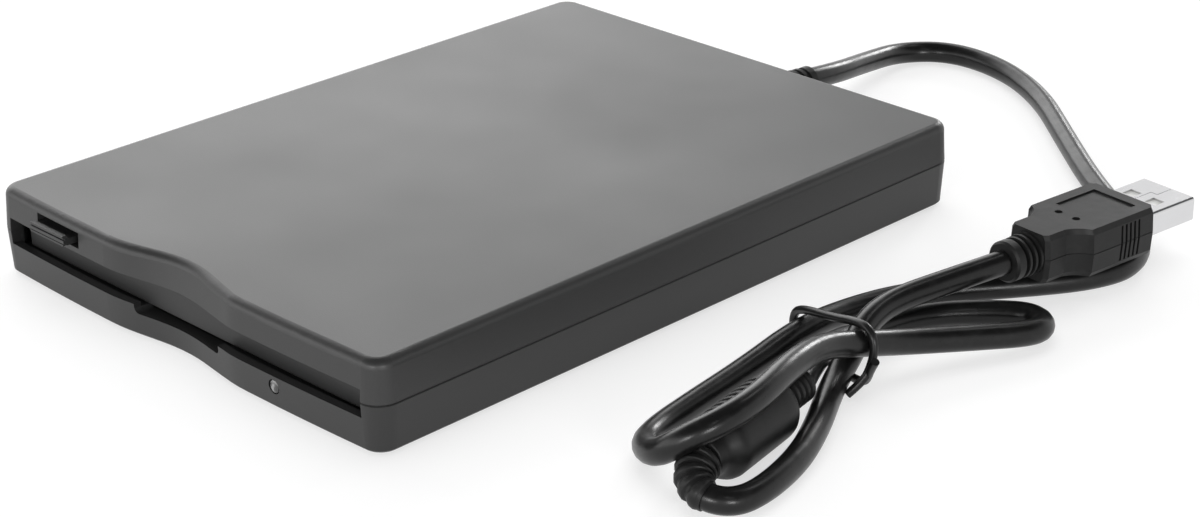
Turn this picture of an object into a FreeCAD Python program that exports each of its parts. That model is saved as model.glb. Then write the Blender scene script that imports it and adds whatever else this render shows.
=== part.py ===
"""External 3.5 inch floppy disk drive with its USB cord, as a parametric FreeCAD document.

Millimetres, +Z up, the slot faces -Y.  The origin is on the table, in the middle of the
drive's own outline.  The casing holds a slim drive: a chassis, a sprung slide plate that the
eject button belongs to, a disk carrier that drops onto the spindle, and a head carriage on
a lead screw.
"""
import FreeCAD
import Part
import Sketcher
import math
import os
from FreeCAD import Placement, Rotation, Vector

doc = FreeCAD.newDocument("floppy_drive")

# ---------------------------------------------------------------- driving dimensions
SIZES = [
    # casing
    ("case_w", 103.0, "casing width at the parting line"),
    ("case_l", 142.0, "casing length at the parting line"),
    ("case_back", 71.7, "Y of the back face"),
    ("case_h", 16.0, "casing height, both halves"),
    ("foot_h", 0.6, "how far the rubber feet stand proud"),
    ("parting_h", 8.45, "height of the lower half"),
    ("side_wall", 1.6, "casing side wall"),
    ("skin", 1.4, "casing floor and roof"),
    ("corner_r", 4.0, "plan corner radius"),
    ("draft_low", 0.49, "mould draft of the lower half, over its height"),
    ("draft_up", 0.43, "mould draft of the upper half, over its height"),
    ("top_round", 1.6, "rounding of the top edge"),
    ("bottom_edge", 0.4, "chamfer of the bottom edge"),
    ("seam", 0.2, "chamfer of both rims at the parting line"),
    ("front_bow", 0.65, "how far the front face bows out"),
    ("scoop_half", 18.5, "half width of the thumb scoop in the front"),
    ("scoop_low", 1.85, "depth of the scoop at the parting line"),
    ("scoop_up", 3.4, "depth of the scoop at the top"),
    ("scoop_ease", 0.6, "how much shallower the scoop is on the inside"),
    # mouth
    ("jamb_w", 2.4, "width of the jambs beside the mouth"),
    ("lip_h", 5.85, "height of the lower lip above the casing bottom"),
    ("brow", 5.2, "front above the slot mouth"),
    ("notch_w", 23.0, "width of the finger notch in the lip"),
    ("notch_d", 1.65, "depth of the finger notch"),
    ("notch_r", 1.0, "corner radius of the finger notch"),
    ("jamb_d", 3.2, "back of the jambs behind the front crest"),
    ("shelf_t", 1.6, "thickness of the shelf behind the lip"),
    ("shelf_drop", 0.85, "shelf top below the lip"),
    ("shelf_d", 6.8, "back of the shelf behind the front crest"),
    ("tab_l", 8.0, "length of the locating tabs of the upper half"),
    # dust door
    ("door_back", 3.8, "door hinge line behind the front crest"),
    ("door_t", 0.9, "door thickness"),
    ("door_gap", 2.1, "door end to mouth side"),
    ("door_pin_r", 0.5, "door pivot pin radius"),
    ("door_pin_drop", 0.6, "door pivot below the top of the mouth"),
    ("ear_t", 1.5, "thickness of the door's ears"),
    # button and light
    ("button_side", 18.6, "eject button centre from the casing side"),
    ("button_drop", 3.15, "eject button centre below the top"),
    ("button_w", 10.2, "eject button width"),
    ("button_h", 1.8, "eject button height"),
    ("button_lip", 0.9, "thickness of the button's raised front lip"),
    ("button_step", 0.55, "drop from the lip to the button's body"),
    ("button_out", 1.4, "button ahead of the front crest, no disk in"),
    ("window_near", 0.35, "gap beside the button, casing side"),
    ("window_far", 2.0, "gap beside the button, middle side"),
    ("window_low", 0.25, "gap below the button"),
    ("window_high", 0.85, "gap above the button"),
    ("led_side", 25.1, "activity light from the casing side"),
    ("led_h", 3.9, "activity light above the casing bottom"),
    ("led_r", 1.25, "activity light lens radius"),
    # screws and feet
    ("screw_head_r", 2.5, "screw head radius"),
    ("screw_head_h", 0.7, "screw head height"),
    ("screw_shank_r", 1.2, "screw shank radius"),
    ("post_r", 3.2, "screw post radius"),
    ("screw_side", 11.5, "chassis screws from the casing side"),
    ("screw_front", 14.3, "front pair of chassis screws behind the chassis front"),
    ("screw_rear", 104.3, "rear pair of chassis screws behind the chassis front"),
    ("cover_screw_side", 7.5, "cover screws from the casing side"),
    ("cover_screw_end", 6.7, "cover screws from the back"),
    ("foot_side", 11.5, "feet from the casing side"),
    ("foot_front", 13.3, "front pair of feet behind the front crest"),
    ("foot_rear", 14.7, "rear pair of feet from the back"),
    ("foot_r", 5.0, "foot radius"),
    ("foot_seat", 0.4, "depth of the foot recesses"),
    # mechanism
    ("sheet", 0.6, "chassis, carrier and slide plate sheet"),
    ("mech_z", 2.4, "underside of the chassis"),
    ("chassis_gap", 1.1, "chassis to the casing wall, each side"),
    ("chassis_inset", 11.0, "front edge of the chassis behind the front crest"),
    ("usb_room", 12.0, "back of the chassis to the back face"),
    ("chassis_ref", 119.0, "chassis length that the places along it are given for"),
    ("over_chassis", 3.3, "top of the chassis sides below the roof"),
    ("slip", 0.6, "gap between the nested side walls"),
    ("bay_z", 6.2, "carrier rail top with no disk in"),
    ("over_bay", 1.3, "ceiling of the carrier below the chassis sides"),
    ("carrier_inset", 1.3, "front edge of the carrier behind the chassis front"),
    ("carrier_l", 86.0, "carrier length"),
    ("rail_w", 3.2, "carrier rail width"),
    ("pin_r", 0.8, "carrier pin radius"),
    ("pin_drop", 1.4, "carrier pins below the carrier ceiling, no disk in"),
    ("pin_front", 14.3, "front pair of carrier pins behind the chassis front"),
    ("pin_rear", 74.3, "rear pair of carrier pins behind the chassis front"),
    ("slot_play", 0.1, "play of the pins in their slots"),
    ("drop", 2.2, "how far the carrier drops"),
    ("travel", 5.0, "how far the slide plate and button run"),
    ("slide_l", 83.0, "slide plate length"),
    ("slide_bar", 12.0, "depth of the slide plate's front bar"),
    ("slide_rail", 9.0, "width of the slide plate's side rails"),
    ("spring_side", 6.8, "slide springs from the chassis side"),
    ("spring_drop", 1.7, "slide springs below the roof"),
    ("spring_r", 0.8, "slide spring outer radius"),
    ("spring_in", 9.3, "front end of the slide springs behind the chassis front"),
    ("spring_l", 20.0, "slide spring length with no disk in"),
    ("lever_side", 11.4, "shutter lever pivot from the carrier side"),
    ("lever_in", 73.3, "shutter lever pivot behind the chassis front"),
    ("lever_l", 28.0, "shutter lever length"),
    ("lever_t", 0.5, "shutter lever sheet"),
    ("spindle_in", 41.7, "spindle axis behind the chassis front"),
    ("rotor_r", 19.0, "spindle rotor radius"),
    ("hub_r", 12.0, "spindle hub radius"),
    ("hub_h", 1.0, "spindle hub above the rotor"),
    ("shaft_r", 1.5, "spindle shaft radius"),
    ("head_in", 80.5, "head gap behind the chassis front, outer track"),
    ("head_h", 1.5, "height of the lower head slider"),
    ("seek", 14.8, "how far the heads travel"),
    ("block_room", 13.7, "front of the carriage block to the back of the chassis"),
    ("block_l", 10.0, "length of the carriage block"),
    ("arm_z", 3.4, "underside of the carriage"),
    ("pivot_drop", 3.2, "pivot of the upper head arm below the roof"),
    ("screw_x", 17.0, "lead screw beside the centre"),
    ("motor_gap", 0.1, "stepper motor above the chassis floor"),
    ("motor_head", 0.5, "stepper motor below the shield"),
    ("screw_r", 1.5, "lead screw radius"),
    ("motor_l", 9.5, "stepper motor length"),
    ("motor_room", 10.7, "front face of the stepper motor to the back of the chassis"),
    ("rod_x", -15.0, "guide rod beside the centre"),
    ("rod_drop", 2.2, "guide rod below the top of the carriage block"),
    ("rod_r", 1.5, "guide rod radius"),
    ("board_t", 1.0, "circuit board thickness"),
    ("standoff", 1.0, "controller board above the chassis"),
    ("usb_board_h", 4.0, "USB board above the casing bottom"),
    ("shield_t", 0.3, "top shield sheet"),
    ("shield_gap", 0.3, "top shield below the roof"),
    # cord
    ("cord_r", 2.2, "cord radius"),
    ("cord_x", 4.5, "cord exit beside the centre"),
    ("gland_l", 13.0, "strain relief length behind the casing"),
    ("gland_r", 3.7, "strain relief radius at the casing"),
    ("choke_r", 5.5, "ferrite choke radius"),
    ("choke_l", 29.6, "choke length with its two reliefs"),
    ("tie_r", 0.65, "twist tie radius"),
    ("shell_w", 12.0, "USB-A shell width"),
    ("shell_h", 4.5, "USB-A shell height"),
    ("shell_out", 12.3, "USB-A shell length ahead of the grip"),
    ("shell_seat", 3.0, "USB-A shell length inside the grip"),
    ("shell_t", 0.3, "USB-A shell sheet"),
    ("grip_w", 15.6, "plug grip width"),
    ("grip_t", 8.8, "plug grip thickness"),
    ("grip_l", 24.3, "plug grip length"),
    ("grip_neck", 9.4, "plug grip width at the cord end"),
    ("plug_relief", 6.0, "plug strain relief length"),
]


class Size(float):
    """A number that also carries the sheet expression it comes from."""

    def __new__(cls, value, rule):
        size = super().__new__(cls, value)
        size.rule = rule
        return size

    def __add__(self, other):
        return joined(self, "+", other, float(self) + float(other))

    def __radd__(self, other):
        return joined(other, "+", self, float(other) + float(self))

    def __sub__(self, other):
        return joined(self, "-", other, float(self) - float(other))

    def __rsub__(self, other):
        return joined(other, "-", self, float(other) - float(self))

    def __mul__(self, other):
        return joined(self, "*", other, float(self) * float(other))

    def __rmul__(self, other):
        return joined(other, "*", self, float(other) * float(self))

    def __truediv__(self, other):
        return joined(self, "/", other, float(self) / float(other))

    def __neg__(self):
        return joined(0.0, "-", self, -float(self))


def rule_of(value):
    return getattr(value, "rule", "(%.9g)" % value)


def joined(left, sign, right, value):
    return Size(value, "(%s %s %s)" % (rule_of(left), sign, rule_of(right)))


class Sheet:
    """The spreadsheet, with each cell as a Size under its alias."""

    def __init__(self, rows):
        cells = doc.addObject("Spreadsheet::Sheet", "Sizes")
        cells.Label = "Sizes"
        for row, (alias, value, note) in enumerate(rows, start=1):
            cells.set("A%d" % row, alias)
            cells.set("B%d" % row, str(value))
            cells.set("C%d" % row, note)
            cells.setAlias("B%d" % row, alias)
        doc.recompute()
        for alias, _, _ in rows:
            setattr(self, alias, Size(float(cells.get(alias)), "Sizes." + alias))


s = Sheet(SIZES)
parts = {}


def publish(node, obj):
    """Name the finished object after the node that it is written out as."""
    obj.Label = node
    parts[node] = obj
    return obj


# ---------------------------------------------------------------- small builders
def drive(obj, **values):
    """Bind properties of an object to sizes."""
    for prop, value in values.items():
        obj.setExpression(prop, rule_of(value))
    return obj


def move(obj, x, y, z):
    for axis, value in zip("xyz", (x, y, z)):
        obj.setExpression("Placement.Base." + axis, rule_of(value))
    return obj


def span(name, x, y, z):
    """A box from its low and high limits along each axis."""
    obj = doc.addObject("Part::Box", name)
    drive(obj, Length=x[1] - x[0], Width=y[1] - y[0], Height=z[1] - z[0])
    return move(obj, x[0], y[0], z[0])


TURN = {"Z": Rotation(), "Y": Rotation(Vector(1, 0, 0), -90), "X": Rotation(Vector(0, 1, 0), 90)}


def rod(name, r, length, x, y, z, along="Z"):
    """A cylinder that starts at x, y, z and runs along a positive axis."""
    obj = drive(doc.addObject("Part::Cylinder", name), Radius=r, Height=length)
    obj.Placement = Placement(Vector(), TURN[along])
    return move(obj, x, y, z)


def fuse(name, shapes):
    obj = doc.addObject("Part::MultiFuse", name)
    obj.Shapes = shapes
    obj.Refine = True
    return obj


def cut(name, base, tools):
    obj = doc.addObject("Part::Cut", name)
    obj.Base = base
    obj.Tool = tools[0] if len(tools) == 1 else fuse(name + "_tools", tools)
    obj.Refine = True
    return obj


def common(name, base, tool):
    obj = doc.addObject("Part::Common", name)
    obj.Base = base
    obj.Tool = tool
    return obj


def group(name, shapes):
    """Several loose solids of one kind in one object."""
    obj = doc.addObject("Part::Compound", name)
    obj.Links = shapes
    return obj


def given(name, shape, placement=None):
    """A shape made in code, for a form that no primitive or sketch covers."""
    obj = doc.addObject("Part::Feature", name)
    obj.Shape = shape
    if placement is not None:
        obj.Placement = placement
    return obj


def sketched(name, plane, corners):
    """A body and a sketch of straight lines whose corners are bound to sizes."""
    body = doc.addObject("PartDesign::Body", name)
    sketch = body.newObject("Sketcher::SketchObject", name + "_sketch")
    origin = [item for item in body.Origin.OriginFeatures if item.Role == plane][0]
    sketch.AttachmentSupport = [(origin, "")]
    sketch.MapMode = "FlatFace"
    spots = [Vector(float(x), float(y), 0) for x, y in corners]
    count = len(corners)
    for i in range(count):
        sketch.addGeometry(Part.LineSegment(spots[i], spots[(i + 1) % count]), False)
    for i in range(count):
        sketch.addConstraint(Sketcher.Constraint("Coincident", i, 2, (i + 1) % count, 1))
    for i, (x, y) in enumerate(corners):
        for kind, axis, value in (("DistanceX", -2, x), ("DistanceY", -1, y)):
            if not hasattr(value, "rule") and abs(value) < 1e-9:
                sketch.addConstraint(Sketcher.Constraint("PointOnObject", i, 1, axis))
                continue
            number = sketch.addConstraint(Sketcher.Constraint(kind, -1, 1, i, 1, float(value)))
            sketch.setExpression("Constraints[%d]" % number, rule_of(value))
    return body, sketch


def prism(name, plane, corners, start, length):
    """A profile padded from start: along +Z for XY, +X for YZ and +Y for XZ."""
    body, sketch = sketched(name, plane + "_Plane", corners)
    offset = -(start + length) if plane == "XZ" else start
    sketch.setExpression("AttachmentOffset.Base.z", rule_of(offset))
    pad = body.newObject("PartDesign::Pad", name + "_pad")
    pad.Profile = sketch
    pad.setExpression("Length", rule_of(length))
    return body


def turned(name, corners, along, x=0.0, y=0.0, z=0.0):
    """A revolved profile: each corner is a radius and a station along Z or along Y."""
    body, sketch = sketched(name, {"Z": "XZ_Plane", "Y": "XY_Plane"}[along], corners)
    turn = body.newObject("PartDesign::Revolution", name + "_turn")
    turn.Profile = sketch
    turn.ReferenceAxis = (sketch, ["V_Axis"])
    turn.Angle = 360
    return move(body, x, y, z)


def side_span(name, side, near, far, y, z):
    """A box between two distances from the centre plane, on one side of it."""
    return span(name, (near, far) if side > 0 else (-far, -near), y, z)


SIDES = (("right", 1), ("left", -1))


def both(name, near, far, y, z):
    """The same box on both sides of the centre plane."""
    return [side_span(name + "_" + word, side, near, far, y, z) for word, side in SIDES]


# ---------------------------------------------------------------- shared places
PLAY = 0.05
GAP = 0.1
BITE = 0.3

half_w = s.case_w / 2
front = s.case_back - s.case_l
bottom = s.foot_h
parting = bottom + s.parting_h
top = bottom + s.case_h
floor_z = bottom + s.skin
roof_z = top - s.skin
inner_w = half_w - s.side_wall
inner_front = front + s.side_wall
inner_back = s.case_back - s.side_wall
lip_z = bottom + s.lip_h
mouth_top = top - s.brow
mouth_half = inner_w - s.jamb_w
front_cut = (front - 2.0, front + s.jamb_d + 1.0)
shelf_z = lip_z - s.shelf_drop
shelf_back = front + s.shelf_d

hinge_y = front + s.door_back
hinge_z = mouth_top - s.door_pin_drop
door_half = mouth_half - s.door_gap

button_x = s.button_side - half_w
button_z = top - s.button_drop
stem_front = front + 4.3
led_x = half_w - s.led_side
led_z = bottom + s.led_h
led_body_r = s.led_r + 0.2
led_back = shelf_back + GAP
flange_r = s.led_r + 0.6
flange_y = inner_front + 0.4
flange_top = shelf_z - 0.45

chassis_half = inner_w - s.chassis_gap
chassis_in = chassis_half - s.sheet
chassis_front = front + s.chassis_inset
chassis_back = s.case_back - s.usb_room
chassis_l = chassis_back - chassis_front
chassis_top = roof_z - s.over_chassis
base_z = s.mech_z + s.sheet
pin_tip = chassis_half + GAP
wing_out = chassis_in - s.slip
wing_in = wing_out - s.sheet
carrier_half = wing_in - s.slip
carrier_in = carrier_half - s.sheet


def along(place):
    """A place behind the front of the chassis, in proportion to the length of the chassis."""
    return chassis_front + place * chassis_l / s.chassis_ref


carrier_front = chassis_front + s.carrier_inset
carrier_run = s.carrier_l * chassis_l / s.chassis_ref
carrier_back = carrier_front + carrier_run
carrier_top = chassis_top - s.over_bay
carrier_upper = carrier_top + s.sheet
pin_front_y = along(s.pin_front)
pin_rear_y = along(s.pin_rear)
pin_z = carrier_top - s.pin_drop
pin_low = pin_z - s.drop
slide_z = chassis_top + GAP
slide_top = slide_z + s.sheet
slide_front = carrier_front
slide_run = s.slide_l * chassis_l / s.chassis_ref
wing_low = pin_low - s.pin_r - s.slot_play - 1.1
spring_x = chassis_half - s.spring_side
spring_y = along(s.spring_in)
spring_z = roof_z - s.spring_drop
lever_x = carrier_half - s.lever_side
lever_y = along(s.lever_in)
lever_z = carrier_upper + GAP
lever_bore = 1.25
peg_r = 1.0
LEVER_REST = 255.0
LEVER_SWING = 30.0

screw_x, screw_y = half_w - s.screw_side, (along(s.screw_front), along(s.screw_rear))
chassis_screw_spots = [(screw_x, screw_y[1]), (-screw_x, screw_y[1]), (screw_x, screw_y[0]), (-screw_x, screw_y[0])]
cover_screw_x, cover_screw_y = half_w - s.cover_screw_side, s.case_back - s.cover_screw_end
cover_screw_spots = [(cover_screw_x, cover_screw_y), (-cover_screw_x, cover_screw_y)]
foot_x, foot_y = half_w - s.foot_side, (front + s.foot_front, s.case_back - s.foot_rear)
foot_spots = [(foot_x, foot_y[1]), (-foot_x, foot_y[1]), (foot_x, foot_y[0]), (-foot_x, foot_y[0])]
chassis_seat = bottom + s.screw_head_h + GAP
cover_seat = bottom + s.parting_h / 2
shank_bore = s.screw_shank_r + GAP
head_bore = s.screw_head_r + 2 * GAP
cover_screw_tip = parting + 4.5
tab_spots = [along(place) for place in (19.3, 79.3, 110.3)]
tab_out = inner_w - PLAY - s.draft_low / 2

shield_top = roof_z - s.shield_gap
shield_under = shield_top - s.shield_t
spindle_y = along(s.spindle_in)
rotor_low = base_z + 0.9
rotor_top = rotor_low + s.sheet
coil_top = base_z + 0.75
arm_t = 0.8
axle_r = 0.6
head_y = along(s.head_in)
block_y = chassis_back - s.block_room
block_back = block_y + s.block_l
pivot_y = block_back - 2.0
pivot_z = roof_z - s.pivot_drop
upper_arm_z = pivot_z - arm_t / 2
block_top = upper_arm_z - 2.0
upper_tip = carrier_top + PLAY
lower_tip = s.bay_z - PLAY
rod_z = block_top - s.rod_drop
rod_bracket_y = (carrier_back + 1.4, carrier_back + 2.0)
motor_r = (shield_under - s.motor_head - base_z - s.motor_gap) / 2
motor_y = chassis_back - s.motor_room
screw_z = base_z + s.motor_gap + motor_r
screw_neck_r = s.screw_r - 0.5
screw_bearing_y = (carrier_back + 1.3, carrier_back + 2.9)

board_z = base_z + s.standoff
board_top = board_z + s.board_t
board_x = (1.2 - chassis_in, s.rod_x - 6.5)
board_y = (carrier_back + 3.5, chassis_back - 1.2)
board_w = board_x[1] - board_x[0]
board_boss_x = (board_x[0] + 2.5, board_x[1] - 2.5)
board_boss_y = (board_y[0] + 3.0, board_y[1] - 3.5)
board_boss_spots = [(board_boss_x[0], board_boss_y[0]), (board_boss_x[1], board_boss_y[0]), (board_boss_x[0], board_boss_y[1])]
ribbon_x = (board_x[1] - 4.0 - 0.4 * board_w, board_x[1] - 4.0)
ribbon_y = (chassis_back - 3.2, chassis_back + 2.1)
switch_x = half_w - 13.0
switch_y = along(5.3)
switch_spots = [(switch_x, switch_y), (-switch_x, switch_y), (6.5 - switch_x, switch_y)]
usb_board_z = bottom + s.usb_board_h
usb_board_top = usb_board_z + s.board_t
usb_board_half = half_w - 12.5
usb_board_y = (chassis_back + 1.0, inner_back - 2.1)
usb_post_x, usb_post_y = usb_board_half - 4.0, usb_board_y[0] + 3.6
usb_post_spots = [(-usb_post_x, usb_post_y), (usb_post_x, usb_post_y)]

neck_r = s.cord_r + 0.65
flange_back = inner_back - s.draft_low
gland_inner = flange_back - 1.4
gland_flange = neck_r + 1.5
gland_end = s.case_back + s.gland_l
lead_y = gland_inner - 4.1
tongue_top = s.shell_h / 2 - s.shell_t - PLAY
tongue_low = tongue_top - 1.95
plug_tip = s.plug_relief + s.grip_l
PLUG_TURN = 6.0
plug_entry = Vector(86.9, 40.3, 9.2)


# ---------------------------------------------------------------- casing
def outline(inset, scoop, z):
    """The casing's plan at one height: bowed front with the thumb scoop, round corners."""
    side = float(half_w - inset)
    back = float(s.case_back - inset)
    crest = float(front + inset)
    half = float(s.scoop_half)
    r = max(float(s.corner_r - inset), 0.8)
    reach = float(half_w - s.corner_r) - half
    bow_r = (reach ** 2 + s.front_bow ** 2) / (2 * float(s.front_bow))
    bow_y = crest + bow_r
    corner_x = side - r
    corner_y = bow_y - math.sqrt((bow_r - r) ** 2 - (corner_x - half) ** 2)
    away = Vector(corner_x - half, corner_y - bow_y, 0).normalize()
    diagonal = r * math.sqrt(0.5)

    def pair(x, y):
        return Vector(x, y, z), Vector(-x, y, z)

    def out_from(x, y, direction, distance):
        step = direction.normalize() * distance
        return pair(x + step.x, y + step.y)

    meet, meet_left = out_from(half, bow_y, Vector(away), bow_r)
    bend, bend_left = out_from(corner_x, corner_y, away + Vector(1, 0, 0), r)
    bow, bow_left = out_from(half, bow_y, away + Vector(0, -1, 0), bow_r)
    low, low_left = pair(side, corner_y)
    high, high_left = pair(side, back - r)
    turn, turn_left = pair(corner_x + diagonal, back - r + diagonal)
    rear, rear_left = pair(corner_x, back)

    waves = 8
    dip = []
    for i in range(waves + 1):
        depth = scoop * (0.5 - 0.5 * math.cos(2 * math.pi * i / waves))
        dip.append(Vector(-half + 2 * half * i / waves, crest + depth, z))
    scallop = Part.BSplineCurve()
    scallop.interpolate(dip, InitialTangent=Vector(1, 0, 0), FinalTangent=Vector(1, 0, 0))
    curves = [
        Part.LineSegment(low, high),
        Part.Arc(high, turn, rear),
        Part.LineSegment(rear, rear_left),
        Part.Arc(rear_left, turn_left, high_left),
        Part.LineSegment(high_left, low_left),
        Part.Arc(low_left, bend_left, meet_left),
        Part.Arc(meet_left, bow_left, dip[0]),
        scallop,
        Part.Arc(dip[-1], bow, meet),
        Part.Arc(meet, bend, low),
    ]
    return Part.Wire([curve.toShape() for curve in curves])


def stack(levels):
    """A solid through outlines that are given as height, inset and scoop."""
    return Part.makeLoft([outline(inset, scoop, z) for z, inset, scoop in levels], True, True)


def lower_outer():
    scoop = s.scoop_low
    foot = s.draft_low + s.bottom_edge
    levels = [(bottom, foot, scoop), (bottom + s.bottom_edge, s.draft_low, scoop)]
    levels += [(parting - s.seam, 0.0, scoop), (parting, s.seam, scoop)]
    return stack(levels)


def upper_outer():
    levels = [(parting, s.seam, s.scoop_low), (parting + s.seam, 0.0, s.scoop_low)]
    levels += [(top, s.draft_up, s.scoop_up)]
    shape = stack(levels)
    rim = [edge for edge in shape.Edges if edge.BoundBox.ZMin > top - 0.01]
    return shape.makeFillet(float(s.top_round), rim)


def lower_inside(depth):
    """The inside of the lower half, at a share of the wall's thickness."""
    inset = s.side_wall * depth
    scoop = s.scoop_low - s.scoop_ease * depth
    return stack([(bottom + s.skin * depth, inset + s.draft_low, scoop), (parting, inset, scoop)])


def upper_inside(depth):
    inset = s.side_wall * depth
    ease = s.scoop_ease * depth
    levels = [(parting, inset, s.scoop_low - ease), (top - s.skin * depth, inset + s.draft_up, s.scoop_up - ease)]
    return stack(levels)


def mouth(name):
    """The slot for the disk."""
    return span(name, (-mouth_half, mouth_half), front_cut, (lip_z, mouth_top))


def finger_notch():
    """A dip with round corners, down through the lower lip and the shelf behind it."""
    half = s.notch_w / 2
    inside = half - s.notch_r
    low = lip_z - s.notch_d
    bend_z = low + s.notch_r
    y = (front - 2.0, shelf_back + 1.0)
    tools = [span("notch_upper", (-half, half), y, (bend_z, lip_z + s.notch_r)), span("notch_floor", (-inside, inside), y, (low, lip_z))]
    for word, side in SIDES:
        tools.append(rod("notch_bend_" + word, s.notch_r, y[1] - y[0], inside * side, y[0], bend_z, "Y"))
    return tools


def jambs(name, z):
    """The blocks beside the mouth that the dust door closes against."""
    return both(name, mouth_half, inner_w + BITE, (front, front + s.jamb_d), z)


def cord_notch(name):
    """The hole for the strain relief's neck, half of it in each cover."""
    start = inner_back - 1.0
    return rod(name, neck_r + PLAY, s.case_back + 1.0 - start, s.cord_x, start, parting, "Y")


def posts(name, spots, r, z):
    return [rod("%s_%d" % (name, i), r, z[1] - z[0], x, y, z[0]) for i, (x, y) in enumerate(spots)]


def bottom_cover():
    cavity = given("lower_cavity", lower_inside(1.0))
    shell = cut("lower_shell", given("lower_outer", lower_outer()), [cavity, mouth("lower_mouth")])
    shelf = span("shelf", (-mouth_half, mouth_half), (front, shelf_back), (shelf_z - s.shelf_t, shelf_z))
    rib = span("led_rib", (led_x - 1.2, led_x + 1.2), (led_back + GAP, led_back + 0.9), (bottom, led_z - led_body_r))
    inner = jambs("lower_jamb", (bottom, parting)) + [shelf, rib]
    inner += posts("lower_post", cover_screw_spots, s.post_r, (bottom, parting))
    inner += posts("chassis_post", chassis_screw_spots, s.post_r, (bottom, s.mech_z))
    inner += posts("usb_post", usb_post_spots, 2.0, (bottom, usb_board_z))
    trimmed = common("lower_inner", fuse("lower_fittings", inner), given("lower_middle", lower_inside(0.5)))
    channel_r = flange_r + 2 * GAP
    channel = rod("led_channel_round", channel_r, s.shelf_d, led_x, flange_y, led_z, "Y")
    channel_z = (led_z - channel_r, flange_top + 0.15)
    channel_box = span("led_channel_box", (led_x - channel_r, led_x + channel_r), (flange_y, flange_y + s.shelf_d), channel_z)
    tools = [cord_notch("lower_cord_notch"), common("led_channel", channel, channel_box)]
    tools.append(rod("led_hole", s.led_r + PLAY, flange_y + 2 * GAP - front + 2.0, led_x, front - 2.0, led_z, "Y"))
    tools += finger_notch()
    tools += posts("chassis_bore", chassis_screw_spots, shank_bore, (0.0, s.mech_z + 1.0))
    tools += posts("chassis_sink", chassis_screw_spots, head_bore, (0.0, chassis_seat))
    tools += posts("cover_bore", cover_screw_spots, shank_bore, (0.0, parting + 1.0))
    tools += posts("cover_sink", cover_screw_spots, head_bore, (0.0, cover_seat))
    tools += posts("foot_recess", foot_spots, s.foot_r + GAP, (0.0, bottom + s.foot_seat))
    return cut("bottom_cover", fuse("lower_full", [shell, trimmed]), tools)


def top_cover():
    window_x = (button_x - s.button_w / 2 - s.window_near, button_x + s.button_w / 2 + s.window_far)
    window_z = (button_z - s.button_h / 2 - s.window_low, button_z + s.button_h / 2 + s.window_high)
    window = span("button_window", window_x, front_cut, window_z)
    cavity = given("upper_cavity", upper_inside(1.0))
    shell = cut("upper_shell", given("upper_outer", upper_outer()), [cavity, window, mouth("upper_mouth")])
    ear_y = (hinge_y - 0.9, hinge_y + 0.9)
    inner = jambs("upper_jamb", (parting, top))
    inner += both("ear", mouth_half - s.ear_t, mouth_half + BITE, ear_y, (hinge_z - 0.9, top))
    inner += posts("upper_post", cover_screw_spots, s.post_r, (parting, top))
    for i, y in enumerate(tab_spots):
        inner += both("tab_root_%d" % i, chassis_half + 2 * GAP, half_w, (y, y + s.tab_l), (parting, parting + 1.2))
    trimmed = common("upper_inner", fuse("upper_fittings", inner), given("upper_middle", upper_inside(0.5)))
    tabs = []
    for i, y in enumerate(tab_spots):
        tabs += both("tab_%d" % i, chassis_half + 2 * GAP, tab_out, (y, y + s.tab_l), (parting - 2.0, parting + 1.0))
    tools = [cord_notch("upper_cord_notch")]
    tools.append(rod("door_bore", s.door_pin_r + PLAY, s.case_w - 4.0, 2.0 - half_w, hinge_y, hinge_z, "X"))
    tools += posts("cover_thread", cover_screw_spots, s.screw_shank_r, (0.0, cover_screw_tip))
    return cut("top_cover", fuse("upper_full", [shell, trimmed] + tabs), tools)


def rubber_feet():
    top_z = bottom + s.foot_seat
    feet = []
    for i, (x, y) in enumerate(foot_spots):
        corners = [(0.0, 0.0), (s.foot_r - 0.5, 0.0), (s.foot_r, 0.5), (s.foot_r, top_z), (0.0, top_z)]
        feet.append(turned("foot_%d" % i, corners, "Z", x, y))
    return group("rubber_feet", feet)


def screws(name, spots, seat, tip, shank_r):
    """Pan head screws driven up from below: the head's top side bears on the seat."""
    made = []
    for i, (x, y) in enumerate(spots):
        low = seat - s.screw_head_h
        edge = s.screw_head_r - 0.4
        corners = [(0.0, low), (edge, low), (s.screw_head_r, low + 0.3), (s.screw_head_r, seat)]
        corners += [(shank_r, seat), (shank_r, tip), (0.0, tip)]
        made.append(turned("%s_%d" % (name, i), corners, "Z", x, y))
    return group(name, made)


def dust_door():
    """A flap behind the mouth that hangs from two pins and swings inwards."""
    y0 = hinge_y - s.door_t / 2
    y1 = hinge_y + s.door_t / 2
    low = shelf_z + 0.15
    high = hinge_z + 0.2
    corners = [(y0, low + 0.3), (y0 + 0.3, low), (y1, low)]
    corners += [(y1, high - 0.2), (y1 - 0.2, high), (y0 + 0.2, high), (y0, high - 0.2)]
    plate = prism("door_plate", "YZ", corners, -door_half, 2 * door_half)
    reach = mouth_half - 0.2
    axle = rod("door_axle", s.door_pin_r, 2 * reach, -reach, hinge_y, hinge_z, "X")
    lift = span("door_rib", (-door_half + 1.0, door_half - 1.0), (y1 - PLAY, y1 + 0.5), (low + 0.6, low + 1.2))
    return fuse("dust_door", [plate, axle, lift])


def led_lens():
    """A domed plug in the lip with a flange and a light pipe behind, flat under the shelf."""
    r = s.led_r
    tip = front + 0.12
    seat = flange_y + GAP
    pipe = r - 0.25
    corners = [(0.0, tip), (0.55 * r, tip + 0.1), (0.85 * r, tip + 0.3), (r, tip + 0.65), (r, seat), (flange_r, seat)]
    corners += [(flange_r, seat + 0.6), (pipe, seat + 0.6), (pipe, led_back), (0.0, led_back)]
    lens = turned("lens_round", corners, "Y", led_x, 0.0, led_z)
    flat = span("lens_flat", (led_x - 3.0, led_x + 3.0), (seat, led_back + 1.0), (flange_top, lip_z))
    return cut("led_lens", lens, [flat])


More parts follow.
